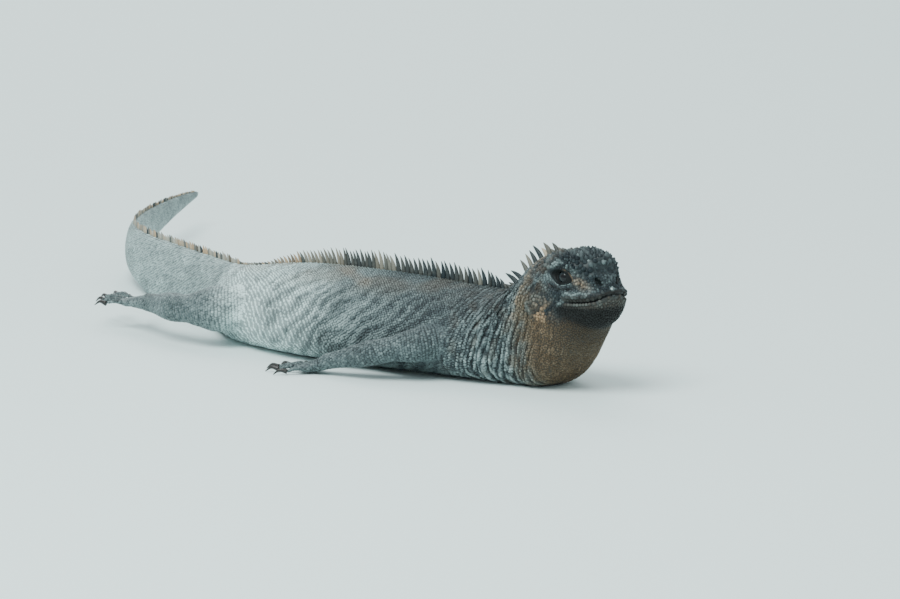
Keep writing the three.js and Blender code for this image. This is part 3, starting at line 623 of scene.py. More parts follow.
def limb_curve(leg, left_side, spread):
    """The limb's middle line, swung out from its hinge by a spread in degrees."""
    base, _, _ = spine_at(leg["girdle"])
    turn = math.radians(-spread if left_side else 0)
    cosine, sine = math.cos(turn), math.sin(turn)
    mirror = 1 if left_side else -1
    hinge = leg["bend"][0][1] * mirror
    points = []
    for x, y, z in leg["bend"]:
        y = y * mirror - hinge
        points.append(base + np.array([x * cosine - y * sine, x * sine + y * cosine + hinge, z]))
    return curve_through(points)


def toe_tube(root, direction, length, lift):
    """One toe's tube, thicker at each of its joints."""
    toe = curve_through([
        at_height(root, lift + TOE_BASE),
        at_height(root + direction * (5 + length * 0.4), lift + TOE_BASE + TOE_RISE),
        at_height(root + direction * (5 + length), lift + TOE_TIP),
    ])
    joints = max(round(length / 9), 2)

    def size(t):
        r = TOE_BASE + (TOE_TIP - TOE_BASE) * t - TOE_SCALE_DEPTH
        r = r * (0.97 + 0.07 * np.cos(2 * np.pi * joints * t))
        return r, r

    return "toe", toe, size, 8 + length // 2, 14


def leg_tubes(leg, left_side, spread):
    """The tubes of one leg, limb, palm and toes, with the tip and direction of each toe."""
    path = limb_curve(leg, left_side, spread)
    radius = profile(leg["radii"])
    lift = leg["lift"]
    palm_length, palm_width, palm_thick = leg["palm"]
    ankle = path(np.array(1.0))
    onward = unit(direction_of(path, 1.0) * LEVEL)
    outside = np.cross([0, 0, -1 if left_side else 1], onward)
    knuckle = at_height(ankle + onward * palm_length, lift + TOE_BASE + 1)
    heel = at_height(ankle + onward * palm_length * 0.45, lift + palm_thick + 1)
    palm = curve_through([path(np.array(0.94)), heel, knuckle])
    wrist = float(radius(0.94)) * 0.96
    wide = profile(((0, wrist), (0.5, palm_width * 0.82), (1, palm_width)))
    thick = profile(((0, wrist), (0.5, palm_thick), (1, TOE_BASE)))
    tubes = [
        ("limb", path, lambda t: (radius(t) - SCALE_DEPTH, radius(t) - SCALE_DEPTH), 40, 40),
        ("palm", palm, lambda t: (wide(t) - SCALE_DEPTH, thick(t) - SCALE_DEPTH), 14, 28),
    ]
    tips = []
    for turn, back, side, length in leg["toes"]:
        root = knuckle - onward * (back + 5) + outside * palm_width * side * 0.82
        direction = onward * math.cos(math.radians(turn)) + outside * math.sin(math.radians(turn))
        tubes.append(toe_tube(root, direction, length, lift))
        toe = tubes[-1][1]
        tips.append((toe(np.array(1.0)), direction_of(toe, 1.0), lift))
    return tubes, tips


def applied(piece):
    """The piece's mesh with its modifiers carried out, in place of its own."""
    graph = bpy.context.evaluated_depsgraph_get()
    made = bpy.data.meshes.new_from_object(piece.evaluated_get(graph), depsgraph=graph)
    old = piece.data
    piece.modifiers.clear()
    piece.data = made
    made.name = piece.name
    bpy.data.meshes.remove(old)
    return made


def join_legs():
    """Makes body, limbs, palms and toes one closed skin."""
    forms = bpy.data.collections.new("limb_forms")
    bpy.context.scene.collection.children.link(forms)
    for name, (tubes, _) in legs.items():
        for i, (_, curve, sizes, count, sides) in enumerate(tubes):
            points, faces = tube_form(curve, sizes, count, sides)
            points[:, 2] = np.maximum(points[:, 2], SKIN_CLEARANCE)
            mesh = new_mesh(f"{name}_{i}", points, faces)
            forms.objects.link(bpy.data.objects.new(f"{name}_{i}", mesh))
    union = skin.modifiers.new("union", "BOOLEAN")
    union.operation = "UNION"
    union.solver = "MANIFOLD"
    union.operand_type = "COLLECTION"
    union.collection = forms
    applied(skin)
    for limb in list(forms.objects):
        bpy.data.objects.remove(limb)
    bpy.data.collections.remove(forms)


legs = {name: leg_tubes(leg, left_side, spread) for name, leg, left_side, spread in LEGS}
join_legs()


def tree_of(points):
    """A search tree over points."""
    tree = KDTree(len(points))
    for i, point in enumerate(points):
        tree.insert(Vector(point), i)
    tree.balance()
    return tree


def sharp_points(mesh, degrees):
    """The ends of the edges where two faces meet at more than an angle."""
    form = bmesh.new()
    form.from_mesh(mesh)
    sharp = {corner.index for edge in form.edges
             if edge.is_manifold and edge.calc_face_angle() > math.radians(degrees) for corner in edge.verts}
    form.free()
    return np.array(sorted(sharp))


# Where legs and toes join, the union's hard corners are drawn into soft skin
SHARP_ANGLE = 24
ROOT_ZONE, ROOT_REACH = 62, 10
TOE_ZONE, TOE_REACH = 34, 2.6
SOFTENING_ROUNDS = 24


def close_to(places, targets, reach):
    return np.min([gap(places, target) for target in targets], 0) < reach


def joins_to_soften(points, sharp):
    """Where limbs leave the trunk and toes the palm: the sharp points there, and how far they reach."""
    roots = [tubes[0][1](np.array(0.12)) for tubes, _ in legs.values()]
    knuckles = [tubes[1][1](np.array(0.7)) for tubes, _ in legs.values()]
    shares = np.linspace(0, 0.6, 40)
    on_limb = np.zeros(len(sharp), bool)
    for tubes, _ in legs.values():
        for place, size in zip(tubes[0][1](shares), tubes[0][2](shares)[0]):
            on_limb |= gap(points[sharp], place) < size + 2.5
    at_root = sharp[close_to(points[sharp], roots, ROOT_ZONE) & on_limb]
    at_root = at_root[~close_to(points[at_root], knuckles, 30)]
    at_knuckle = sharp[close_to(points[sharp], knuckles, TOE_ZONE)]
    return (roots, ROOT_ZONE, ROOT_REACH, at_root), (knuckles, TOE_ZONE, TOE_REACH, at_knuckle)


def soften_joins(mesh):
    points, _, edges = mesh_arrays(mesh)
    weights = np.zeros(len(points))
    for targets, zone, reach, chosen in joins_to_soften(points, sharp_points(mesh, SHARP_ANGLE)):
        area = np.flatnonzero(close_to(points, targets, zone + reach))
        corners = tree_of(points[chosen])
        far = np.array([corners.find(Vector(point))[2] for point in points[area]])
        weights[area] = np.maximum(weights[area], np.clip(1.25 - far / reach, 0, 1))
    degree = np.bincount(edges.ravel(), minlength=len(points))
    for _ in range(SOFTENING_ROUNDS):
        total = np.zeros_like(points)
        np.add.at(total, edges[:, 0], points[edges[:, 1]])
        np.add.at(total, edges[:, 1], points[edges[:, 0]])
        points += (total / degree[:, None] - points) * (0.6 * weights[:, None])
    move_points(mesh, points)


soften_joins(skin.data)
skin.data.polygons.foreach_set("use_smooth", np.ones(len(skin.data.polygons), bool))


# Eyes: a finer ball with iris and pupil, in place of the solids'
def eye_piece(name, centre, outward):
    rows, sides = 28, 40
    angles = np.arange(sides) * 2 * np.pi / sides
    rings = []
    for h in np.cos(np.linspace(0.02, np.pi - 0.02, rows)):
        r = math.sqrt(1 - h * h)
        rings.append(columns(r * np.cos(angles), r * np.sin(angles), h))
    points, faces = closed_tube(rings)
    bulge = 1 + 0.05 * eased(points[:, 2], 0.7, 1.0)
    turn = np.array(Vector((0, 0, 1)).rotation_difference(Vector(outward)).to_matrix())
    mesh = new_mesh(name, centre + (points * (EYE_RADIUS * bulge)[:, None]) @ turn.T, faces)
    add_marks(mesh, {"gaze": points[:, 2]})
    return new_piece(name, mesh)


eyes = []
for side, (centre, outward, forward) in zip(("left", "right"), EYES):
    gaze = unit(outward * 0.92 + forward * 0.3 + np.array([0, 0, -0.05]))
    eye = eye_piece(f"eye_ball_{side}", centre, gaze)
    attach(eye, "root")
    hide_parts(f"eye_{side}")
    eyes.append(eye)


# Claws: five curved horns a foot
def claw_form(tip, ahead, lift):
    level = unit(ahead * LEVEL)
    path = curve_through([
        tip - ahead,
        at_height(tip + level * CLAW_LENGTH * 0.5, lift + TOE_TIP + 1.5),
        at_height(tip + level * CLAW_LENGTH, lift + 0.5),
    ])

    def size(t):
        return CLAW_WIDTH * (1 - 0.9 * t) * 0.95, (CLAW_WIDTH + 0.2) * (1 - 0.86 * t) * 0.95

    return tube_form(path, size, 10, 12)


claws = []
for name, (_, tips) in legs.items():
    points, faces = np.zeros((0, 3)), []
    for tip in tips:
        claw_points, claw_faces = claw_form(*tip)
        faces += [[i + len(points) for i in face] for face in claw_faces]
        points = np.concatenate([points, claw_points])
    points[:, 2] = np.maximum(points[:, 2], CLAW_CLEARANCE)
    claw = new_piece(f"claws_{name}", new_mesh(f"claws_{name}", points, faces))
    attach(claw, "root")
    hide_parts(*[f"{name}_claw_{i + 1}" for i in range(5)])
    claws.append(claw)

# Crest spines. On the nape, one by one: (station, length, rake, how pale)
NAPE_SPINES = (
    (62, 3.5, 0, 0.05), (66.5, 5, 4, 0.1), (71, 10, 3, 0.05), (75.5, 5.5, 0, 0.1), (80, 12, 2, 0.1),
    (84, 10, 0, 0.75), (89.5, 17, -2, 0.0), (96, 16.5, -17, 0.02), (101, 18, -23, 0.2),
    (106, 15.6, -24, 0.12), (111.5, 17, 3, 0.0), (117, 17.5, 6, 0.0), (122, 7, 10, 0.05),
    (126.5, 5.5, 10, 0.05), (130.5, 5, 10, 0.05),
)
NAPE_CHORD, NAPE_THICK = 4.3, 3.7
spine_length = profile((
    (134, 7.5), (142, 12), (160, 14), (200, 14.8), (250, 14.6), (296, 14.2), (322, 12.2), (345, 9.4),
    (362, 6), (376, 3), (384, 2.8), (412, 2.8), (426, 5.6), (470, 6.6), (560, 6.6), (700, 5.4), (850, 4),
    (990, 2),
))
spine_pitch = profile(((134, 4.7), (240, 4.5), (285, 3.6), (400, 3.4), (430, 5), (990, 3.6)))
spine_chord = profile(((134, 4.5), (240, 4.4), (290, 3.6), (400, 3), (430, 3), (700, 2.8), (990, 1.8)))
spine_thick = profile(((134, 3.3), (290, 2.8), (400, 2.0), (430, 2.5), (700, 2.0), (990, 0.9)))
spine_rake = profile(((134, 3), (240, 4), (350, 8), (400, 14), (440, 16), (700, 20), (1000, 30)))
spine_paleness = profile((
    (134, 0), (150, 0.04), (156, 0.2), (165, 0.18), (171, 0.1), (240, 0.04), (247, 0.3), (260, 0.28),
    (266, 0.05), (295, 0.06), (303, 0.3), (332, 0.28), (340, 0.2), (400, 0.3), (430, 0.45), (1000, 0.35),
))


def crest_roots():
    """Every spine's station, length, chord, thickness, rake and paleness, from nape to tail tip."""
    roots = [(s, length, NAPE_CHORD * min(0.5 + length / 20, 1.1), NAPE_THICK, rake, pale)
             for s, length, rake, pale in NAPE_SPINES]
    s = BACK_CREST_START
    while s < TAIL_TIP - 14:
        wild = 1 + 1.2 * float(eased(s, 405, 430))
        length = float(spine_length(s)) * (1 + 0.11 * wild * chance.uniform(-1, 0.7))
        pale = float(spine_paleness(s)) * chance.uniform(0.35 if 240 < s < 345 else -0.2, 1.4)
        chord = float(spine_chord(s)) * (1 + 0.08 * wild * chance.uniform(-1, 1))
        rake = float(spine_rake(s)) + chance.normal(0, 2.2 * wild)
        roots.append((s, length, chord, float(spine_thick(s)), rake, pale))
        s += float(spine_pitch(s)) * (1 + 0.1 * wild * chance.uniform(-1, 1))
    return np.array(roots)


def spine_shape(fullness, bend):
    """One spine of the crest, a unit tall: it tapers the later the fuller it is, its tip bent back."""
    angles = np.arange(8) * np.pi / 4
    rings = []
    for share in (-0.2, 0.0, 0.22, 0.42, 0.6, 0.76, 0.9, 0.985):
        taper = (1 - max(share, 0) ** fullness) * 0.95 + 0.05
        back = bend * (max(share, 0) ** 2 - 0.18 * max(share, 0))
        rings.append(columns(-back + 0.5 * taper * np.cos(angles), 0.5 * taper * np.sin(angles), share))
    return closed_tube(rings)


# Camera at the photograph's viewing angle, placed by the middle of the right eye in the picture
AZIMUTH, ELEVATION, DISTANCE = math.radians(37), math.radians(10), 7.0
PICTURE = (900, 599)
EYE_PIXEL = (567.3, 277.1)
METRES_PER_PIXEL = 0.0008
SENSOR = 36


def add_camera():
    flat = math.cos(ELEVATION)
    back = Vector((math.sin(AZIMUTH) * flat, -math.cos(AZIMUTH) * flat, math.sin(ELEVATION)))
    right = (-back).cross(Vector((0, 0, 1))).normalized()
    up = right.cross(-back)
    aside = (EYE_PIXEL[0] - PICTURE[0] / 2) * METRES_PER_PIXEL
    below = (EYE_PIXEL[1] - PICTURE[1] / 2) * METRES_PER_PIXEL
    data = bpy.data.cameras.new("camera")
    data.sensor_width = SENSOR
    data.lens = SENSOR * DISTANCE / METRES_PER_PIXEL / PICTURE[0]
    data.clip_end = 100
    camera = new_piece("camera", data)
    camera.location = Vector(placed(RIGHT_EYE)) + back * DISTANCE - right * aside + up * below
    camera.rotation_euler = Matrix((right, up, back)).transposed().to_euler()
    bpy.context.scene.camera = camera


add_camera()


def set_inputs(tree, node, inputs):
    """Sets a node's inputs, by name or number, to values, or links them to outputs of other nodes."""
    for label, value in inputs.items():
        if isinstance(value, bpy.types.NodeSocket):
            tree.links.new(value, node.inputs[label])
        else:
            node.inputs[label].default_value = value


def add_node(tree, kind, inputs, output=None, **settings):
    """A new node with its settings and inputs; gives one of its outputs, the first if none is named."""
    node = tree.nodes.new(kind)
    for key, value in settings.items():
        setattr(node, key, value)
    set_inputs(tree, node, inputs)
    return next((o for o in node.outputs if o.enabled and output in (None, o.name)), None)


# Shapes on roots: a node tree sets one shape at each root, with the root's own turn, size and marks
PATCH_WIDTH = 0.0015
TREE_INPUTS = {
    "Roots": "Geometry", "Shape": "Object", "Material": "Material", "Size": "Float",
    "Size Spread": "Float", "Patch Width": "Float", "Seed": "Int",
}


def roots_tree():
    tree = bpy.data.node_groups.new("shapes_on_roots", "GeometryNodeTree")
    tree.is_modifier = True
    for label, kind in TREE_INPUTS.items():
        tree.interface.new_socket(label, in_out="INPUT", socket_type=f"NodeSocket{kind}")
    tree.interface.new_socket("Scales", in_out="OUTPUT", socket_type="NodeSocketGeometry")
    given = tree.nodes.new("NodeGroupInput").outputs

    def node(kind, inputs, output=None, **settings):
        return add_node(tree, kind, inputs, output, **settings)

    def attribute(label):
        return node("GeometryNodeInputNamedAttribute", {"Name": label}, data_type="FLOAT_VECTOR")

    def scaled(vector, factor):
        return node("ShaderNodeVectorMath", {0: vector, "Scale": factor}, operation="SCALE")

    drawn = node("FunctionNodeRandomValue", {"Min": -1.0, "Seed": given["Seed"]}, data_type="FLOAT")
    spread = node("ShaderNodeMath", {0: drawn, 1: given["Size Spread"]}, operation="MULTIPLY")
    factor = node("ShaderNodeMath", {0: spread, 1: given["Size"], 2: given["Size"]}, operation="MULTIPLY_ADD")
    spots = node("GeometryNodeInstanceOnPoints", {
        "Points": given["Roots"],
        "Instance": node("GeometryNodeObjectInfo", {"Object": given["Shape"]}, "Geometry"),
        "Rotation": node("FunctionNodeEulerToRotation", {"Euler": attribute("turn")}),
        "Scale": scaled(attribute("size"), factor),
    })
    real = node("GeometryNodeRealizeInstances", {"Geometry": spots})
    patch = scaled(attribute("own_place"), given["Patch Width"])
    place = node("ShaderNodeVectorMath", {0: attribute("bake_place"), 1: patch}, operation="ADD")
    mapped = node(
        "GeometryNodeStoreNamedAttribute", {"Name": "OFBake", "Geometry": real, "Value": place},
        data_type="FLOAT2", domain="CORNER")
    finish = node("GeometryNodeSetMaterial", {"Geometry": mapped, "Material": given["Material"]})
    smooth = node("GeometryNodeSetShadeSmooth", {"Geometry": finish})
    node("NodeGroupOutput", {"Scales": smooth})
    return tree


ROOTS_TREE = roots_tree()


def unit_shape(name, form):
    """A shape kept aside for the node tree, which knows each of its points' own place."""
    points, faces = form
    mesh = bpy.data.meshes.new(name)
    mesh.from_pydata(points.tolist(), [], faces)
    add_marks(mesh, {"own_place": points}, "FLOAT_VECTOR")
    return bpy.data.objects.new(name, mesh)


def euler_turns(outward, along):
    """Turns that stand a shape's Z on the skin's outward direction and its X along the body."""
    z = unit(outward)
    x = unit(along - z * (along * z).sum(1, keepdims=True))
    y = np.cross(z, x)
    pitch = np.arcsin(np.clip(-x[:, 2], -1, 1))
    return columns(np.arctan2(y[:, 2], z[:, 2]), pitch, np.arctan2(x[:, 1], x[:, 0]))


class Roots:
    """Roots of scales: places and directions, sizes in millimetres, unwrap spots and station."""

    parts = ("points", "outward", "along", "sizes", "spots", "s")

    def __init__(self, *values):
        for part, value in zip(self.parts, values):
            setattr(self, part, value)

    def kept(self, keep):
        return Roots(*(getattr(self, part)[keep] for part in self.parts))


def all_roots(groups):
    return Roots(*(np.concatenate([getattr(group, part) for group in groups]) for part in Roots.parts))


def set_on_roots(name, shape, roots, marks, material, spread=0.08):
    """A piece of many like shapes, one at each root; marks are named numbers, one for each."""
    mesh = bpy.data.meshes.new(name)
    mesh.from_pydata(placed(roots.points).tolist(), [], [])
    turns = euler_turns(roots.outward, roots.along)
    unwrap = columns(roots.spots[:, 0], roots.spots[:, 1], 0)
    settings_by_root = {"turn": turns, "size": roots.sizes * MM, "bake_place": unwrap}
    add_marks(mesh, settings_by_root, "FLOAT_VECTOR")
    add_marks(mesh, marks)
    piece = new_piece(name, mesh)
    grown = piece.modifiers.new("grown", "NODES")
    grown.node_group = ROOTS_TREE
    inputs = {item.name: item.identifier for item in ROOTS_TREE.interface.items_tree
              if item.in_out == "INPUT"}
    settings = {"Shape": shape, "Material": material, "Size": 1.0, "Size Spread": spread,
                "Patch Width": PATCH_WIDTH, "Seed": SEED}
    for label, value in settings.items():
        grown[inputs[label]] = value
    made = applied(piece)
    for label in settings_by_root:
        if label in made.attributes:
            made.attributes.remove(made.attributes[label])
    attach(piece, "root")


def bake_spot(s, share):
    """A root's place on the unwrap: stations along, girth across."""
    return columns(0.02 + 0.96 * s / TAIL_TIP, 0.03 + 0.5 * (share + 1) / 2)


# Forms of one scale, a unit across and a unit tall
def turned_shape(sides, steps, apex_back):
    """A closed form of rings, as (radius, height) from root to top, its top drawn towards the rear."""
    angles = (np.arange(sides) + 0.5) * 2 * np.pi / sides
    points, faces = closed_tube([
        columns(apex_back * max(height, 0) + radius * np.cos(angles), radius * np.sin(angles), height)
        for radius, height in steps])
    points[-1] += [0, 0, 0.12 * steps[-1][0]]
    return points, faces


def keeled_shape():
    """A long scale with a ridge that rises to its rear end."""
    angles = (np.arange(6) + 0.5) * np.pi / 3
    rings = []
    for radius, height, narrow, rise in (
        (0.54, -0.4, 1, 0), (0.52, 0.2, 0.96, 0.15), (0.44, 0.55, 0.3, 0.45),
    ):
        along = radius * np.cos(angles)
        up = height + rise * along / 0.44
        rings.append(columns(along + 0.12 * max(height, 0), narrow * radius * np.sin(angles), up))
    return closed_tube(rings)


GRANULE = unit_shape("granule", turned_shape(6, ((0.52, -0.4), (0.46, 0.35), (0.24, 0.85)), 0.14))
PLATE = unit_shape("plate", turned_shape(7, ((0.55, -0.5), (0.5, 0.4), (0.34, 0.85)), 0.05))
CONE = unit_shape("cone", turned_shape(6, ((0.6, -0.35), (0.48, 0.18), (0.25, 0.62), (0.07, 0.95)), 0.12))
KEELED = unit_shape("keeled", keeled_shape())

# Where scales stand: the finished skin gives every root its place and direction
skin_places, skin_normals, _ = mesh_arrays(skin.data)
skin_corners = [tuple(p.vertices) for p in skin.data.polygons]
skin_tree = BVHTree.FromPolygons([Vector(p) for p in skin_places], skin_corners)


def snapped(points):
    """The nearest places of the finished skin, their smooth directions, and how far they are."""
    places, outward, far = np.array(points), np.zeros((len(points), 3)), np.zeros(len(points))
    for i, point in enumerate(points):
        place, _, face, far[i] = skin_tree.find_nearest(Vector(point))
        corners = list(skin_corners[face])
        weights = 1 / (gap(skin_places[corners], np.array(place)) + 0.05)
        places[i] = place
        outward[i] = weights @ skin_normals[corners]
    return places, unit(outward), far


along_pitch = profile(((84, 1.9), (140, 2.3), (200, 2.8), (380, 3.05), (430, 3.1), (600, 3.4), (1000, 1.9)))
across_pitch = profile((
    (84, 1.95), (140, 1.95), (200, 1.65), (380, 1.75), (430, 2.0), (500, 2.2), (700, 1.9), (1000, 1.1),
))
row_lean = profile((
    (84, 0.05), (130, 0.2), (170, 1), (300, 1.3), (380, 1.7), (470, 0.9), (700, 0.5), (1000, 0.3),
))
LEAN_FADE = 0.42
# Rows start behind a range by this many, because they lean forward down the flank
ROWS_BEHIND = 45
ROW_HALF_LENGTH = 84
rows_before = np.concatenate([[0], np.cumsum(1 / along_pitch(WALK_STATIONS + 0.5))])[: len(WALK_STATIONS)]


def body_rows(start, end):
    """Leaning rows of scales over a length of the body."""
    first, last = np.interp((start, end), WALK_STATIONS, rows_before)
    rows = np.arange(math.floor(first), math.ceil(last) + ROWS_BEHIND)
    at = np.interp(rows, rows_before, WALK_STATIONS)
    steps = np.arange(-ROW_HALF_LENGTH, ROW_HALF_LENGTH + 1)
    row, step = np.meshgrid(np.arange(len(rows)), steps, indexing="ij")
    s = at[row] + chance.normal(0, 0.12, row.shape) * along_pitch(at[row])
    jitter = chance.normal(0, 0.15, row.shape)
    distance = (step + 0.5 * (rows[row] % 2) + jitter) * across_pitch(s)
    reach = np.clip(np.abs(distance) / half_girth(np.clip(s, 0, TAIL_TIP)), 0, 1)
    s = s - row_lean(s) * np.abs(distance) * (1 - LEAN_FADE * reach)
    share = distance / half_girth(np.clip(s, 0, TAIL_TIP))
    keep = (s >= start) & (s < end) & (np.abs(share) < 0.97) & (np.abs(distance) > 1.2)
    s, share = s[keep], share[keep]
    points, outward, forward = under_scales(s, share)
    beyond = under_scales(s, share + 0.01 * np.sign(share))[0]
    lean = row_lean(s) * (1 - 2 * LEAN_FADE * np.abs(share))
    along = unit(unit(beyond - points) * lean[:, None] - forward)
    stretch = np.hypot(1, lean)
    places, outward, far = snapped(points + outward * fine_relief(s, points, outward)[:, None])
    grain = chance.uniform(0.88, 1.14, len(s))
    flank = stretch_of(s, 150, 200, 390, 440)
    length = along_pitch(s) * (1.2 - 0.24 * flank) / stretch
    width = across_pitch(s) * (1.12 + 0.1 * flank) * stretch
    sizes = columns(length, width, 0.26 * along_pitch(s)) * grain[:, None]
    covered = far > np.where(s > 145, 3.0, 4.5)
    return Roots(places, outward, along, sizes, bake_spot(s, share), s).kept(~covered & (places[:, 2] > 1.2))


LIMB_PITCH = {"limb": 2.15, "palm": 1.9, "toe": 1.8}


def limb_rows(number, tubes):
    """Rows of scales round a leg's limb, palm and toes, left out where another form covers them."""
    groups = []
    for i, (kind, curve, sizes, _, _) in enumerate(tubes):
        length = np.linalg.norm(np.diff(curve(np.linspace(0, 1, 60)), axis=0), axis=1).sum()
        pitch = LIMB_PITCH[kind]
        rows = int(length / pitch)
        for k in range(rows):
            t = (k + 0.5) / rows
            wide, tall = (float(v) for v in sizes(np.array(t)))
            girth = math.pi * (3 * (wide + tall) - math.sqrt((3 * wide + tall) * (wide + 3 * tall)))
            sides = max(int(girth / (pitch * 0.98)), 6)
            angle = (np.arange(sides) + 0.5 * (k % 2) + chance.normal(0, 0.1, sides)) * 360 / sides
            t = t + chance.normal(0, 0.12, sides) / rows
            points, _, ahead = tube_point(curve, sizes, t, angle)
            found, outward, far = snapped(points)
            spots = columns(0.02 + 0.23 * number + 0.2 * t, 0.56 + 0.05 * i + 0.04 * (angle % 360) / 360)
            size = columns(1.28, 1.22, 0.27) * pitch * chance.uniform(0.9, 1.15, (sides, 1))
            nearness = t if kind == "limb" else np.ones(sides)
            made = Roots(found, outward, ahead, size, spots, -nearness - 0.01)
            covered = far >= (1.3 if points[0, 0] < 0 else 2.4)
            groups.append(made.kept(~covered & (found[:, 2] > 1.0)))
    return all_roots(groups)


THINNING_CELL = 3.0


def thinned(roots, share_of_size):
    """Leaves out roots that stand too close to an earlier one in the same cell or one beside it."""
    reach = share_of_size * roots.sizes[:, 1]
    widest = reach.max() * 1.01
    cells = roots.points // THINNING_CELL
    tree = tree_of(roots.points)
    keep = np.zeros(len(reach), bool)
    for i, point in enumerate(roots.points):
        near = [j for _, j, _ in tree.find_range(Vector(point), widest)
                if keep[j] and np.abs(cells[j] - cells[i]).max() <= 1]
        keep[i] = not near or np.all(gap(roots.points[near], point) >= np.maximum(reach[near], reach[i]))
    return roots.kept(keep)


# Head scales: spread at random with a spacing that suits each part of the head
HEAD_SCALES_END = 86
HEAD_SCALE_TRIES = 46000


def head_spacing(s, points):
    """The distance between head scales, millimetres: large on the crown, small round the eyes."""
    height = points[:, 2]
    crown = eased(height, 97, 104) * (1 - eased(s, 62, 78))
    spacing = 2.2 + crown * (0.5 + 1.4 * eased(s, 7, 17))
    for centre, _, _ in EYES:
        far = gap(points, centre)
        spacing = np.where(far < 19, np.minimum(spacing, 1.7 + 2.2 * eased(far, 12, 19)), spacing)
    spacing += 0.8 * bell((s - 56) / 9) * bell((height - 70) / 11)
    throat = eased(66 - height, 0, 14)
    return spacing * (1 - throat) + 1.75 * throat


def head_roots():
    """Roots all over the head, clear of the mouth, eyes, nostrils and ears."""
    s = HEAD_SCALES_END * chance.uniform(0, 1, HEAD_SCALE_TRIES) ** 1.15 + 0.15
    share = chance.uniform(-1, 1, HEAD_SCALE_TRIES)
    points, outward, forward = under_scales(s, share)
    spacing = head_spacing(s, points)
    above = points[:, 2] - mouth_height(s)
    keep = ~((s < LIP_END) & (above > -4.4) & (above < 5.2)) & (points[:, 2] > 2)
    for eye in EYES:
        keep &= ~((lid_distance(points, *eye) < 1.2) & (gap(points, eye[0]) < 17))
    for openings, clear in ((NOSTRILS, 2.9), (EARS, 4.2)):
        for centre, _, _ in openings:
            keep &= gap(points, centre) > clear
    sizes = columns(spacing, spacing, spacing * 0.3)
    roots = Roots(points, outward, -forward, sizes, bake_spot(s, share), s)
    roots = thinned(roots.kept(keep), 0.82)
    raised = roots.points + roots.outward * fine_relief(roots.s, roots.points, roots.outward)[:, None]
    roots.points, roots.outward, _ = snapped(raised)
    return roots


def side_share(s, height, left_side):
    """The girth share of the skin's place at each station and height on one side."""
    shares = np.linspace(0.02, 0.98, 160) * (1 if left_side else -1)
    levels = skin_point(s[:, None], girth_angle(s[:, None], shares))[0][..., 2]
    return np.array([np.interp(-level, -row, shares) for level, row in zip(height, levels)])


# Rows of lip plates: height over the mouth's slit, the plates' height, and their pitch
LIP_ROWS = ((2.0, 2.7, 3.0), (4.5, 2.4, 2.8), (-2.0, 2.3, 2.7), (-4.1, 2.1, 2.5))


def lip_roots():
    groups = []
    for rise, tall, pitch in LIP_ROWS:
        for left_side in (True, False):
            s = np.arange(0.7, LIP_END - 0.5, pitch * 0.97)
            s = s + chance.normal(0, 0.08, len(s))
            share = side_share(s, mouth_height(s) + rise, left_side)
            points, _, forward = under_scales(s, share)
            found, outward, _ = snapped(points)
            size = np.tile([pitch * 1.12, tall * 1.12, 0.75], (len(s), 1))
            groups.append(Roots(found, outward, -forward, size, bake_spot(s, share), s))
    return all_roots(groups)


# Markings: how silvery, tan, brown and dark the animal is at each place; some of the silver and dark marks
# are painted light and painted shade
# Paleness along the body, rising towards the hips: partly dust and salt, partly a painted reflection of the
# sky on the rear flank.
PALE_DUST_AND_SHEEN_ALONG = profile((
    (76, 0.05), (110, 0.05), (150, 0.04), (200, 0.08), (240, 0.15), (290, 0.38), (340, 0.78),
    (390, 0.95), (440, 0.52), (520, 0.5), (620, 0.54), (760, 0.48), (1000, 0.4),
))
# Specks of salt on face and crown: station and share of the girth
SALT_SPOTS = ((41.3, -0.08), (31.4, -0.105), (19.5, -0.13), (13.9, 0.005), (3, 0.0), (40, 0.16))


def zones_of(s, points):
    """The animal's regions, each from 0 to 1, and its mottling; a station below 0 is on a leg."""
    leg = s < 0
    at = np.where(leg, np.clip(VENT - points[:, 0], 100, VENT), s)
    height = points[:, 2]
    trunk = stretch_of(at, 140, 190, 400, 470)
    return SimpleNamespace(
        points=points, at=at, height=height, above=height - mouth_height(at), leg=leg, trunk=trunk,
        limb=leg * eased(np.clip(-s - 0.01, 0, 1), 0.03, 0.33),
        back=eased(height, 56, 72) * trunk,
        head=(1 - eased(at, 74, 88)) * ~leg,
        neck=stretch_of(at, 57, 70, 136, 170) * (1 - eased(height, 78, 92)) * ~leg,
        folds=neck_folds(points, at),
        blotch=mottle(points, 34, 3), fine=mottle(points, 9, 4), grain=mottle(points, 3.6, 5),
    )


def body_marks(z, found):
    """Pale flanks, partly dust and partly a painted sky reflection, with slanting bands, a browner back, and
    dark legs.
    """
    along = PALE_DUST_AND_SHEEN_ALONG(z.at)
    silver = along * (1 + 0.16 * z.blotch + 0.18 * z.fine + 0.12 * z.grain) * (1 - 0.25 * z.back)
    band = np.cos(2 * np.pi * (z.at + 1.1 * z.height + 6 * z.blotch) / 17)
    strength = (0.04 + 0.36 * along) * (1 - 0.6 * eased(z.at, 300, 380))
    silver += strength * band * z.trunk * (1 - z.back)
    # Painted light on the crests of the neck's folds.
    silver += z.neck * 0.17 * (z.folds + 0.3 * z.fine) * (1 + eased(40 - z.height, 0, 30))
    found.silver = silver * (1 - 0.92 * z.limb) + 0.08 * z.limb * (1 + 0.6 * z.grain)
    found.tan = 0.2 * eased(mottle(z.points, 26, 6), 0.2, 1.3) * z.back
    found.brown = 0.4 * z.back * eased(mottle(z.points, 40, 7), -0.6, 0.8)
    found.dark = 0.2 * eased(-z.blotch, 0.3, 1.3) * z.trunk + 0.1 * bell((z.at - 150) / 50) * ~z.leg


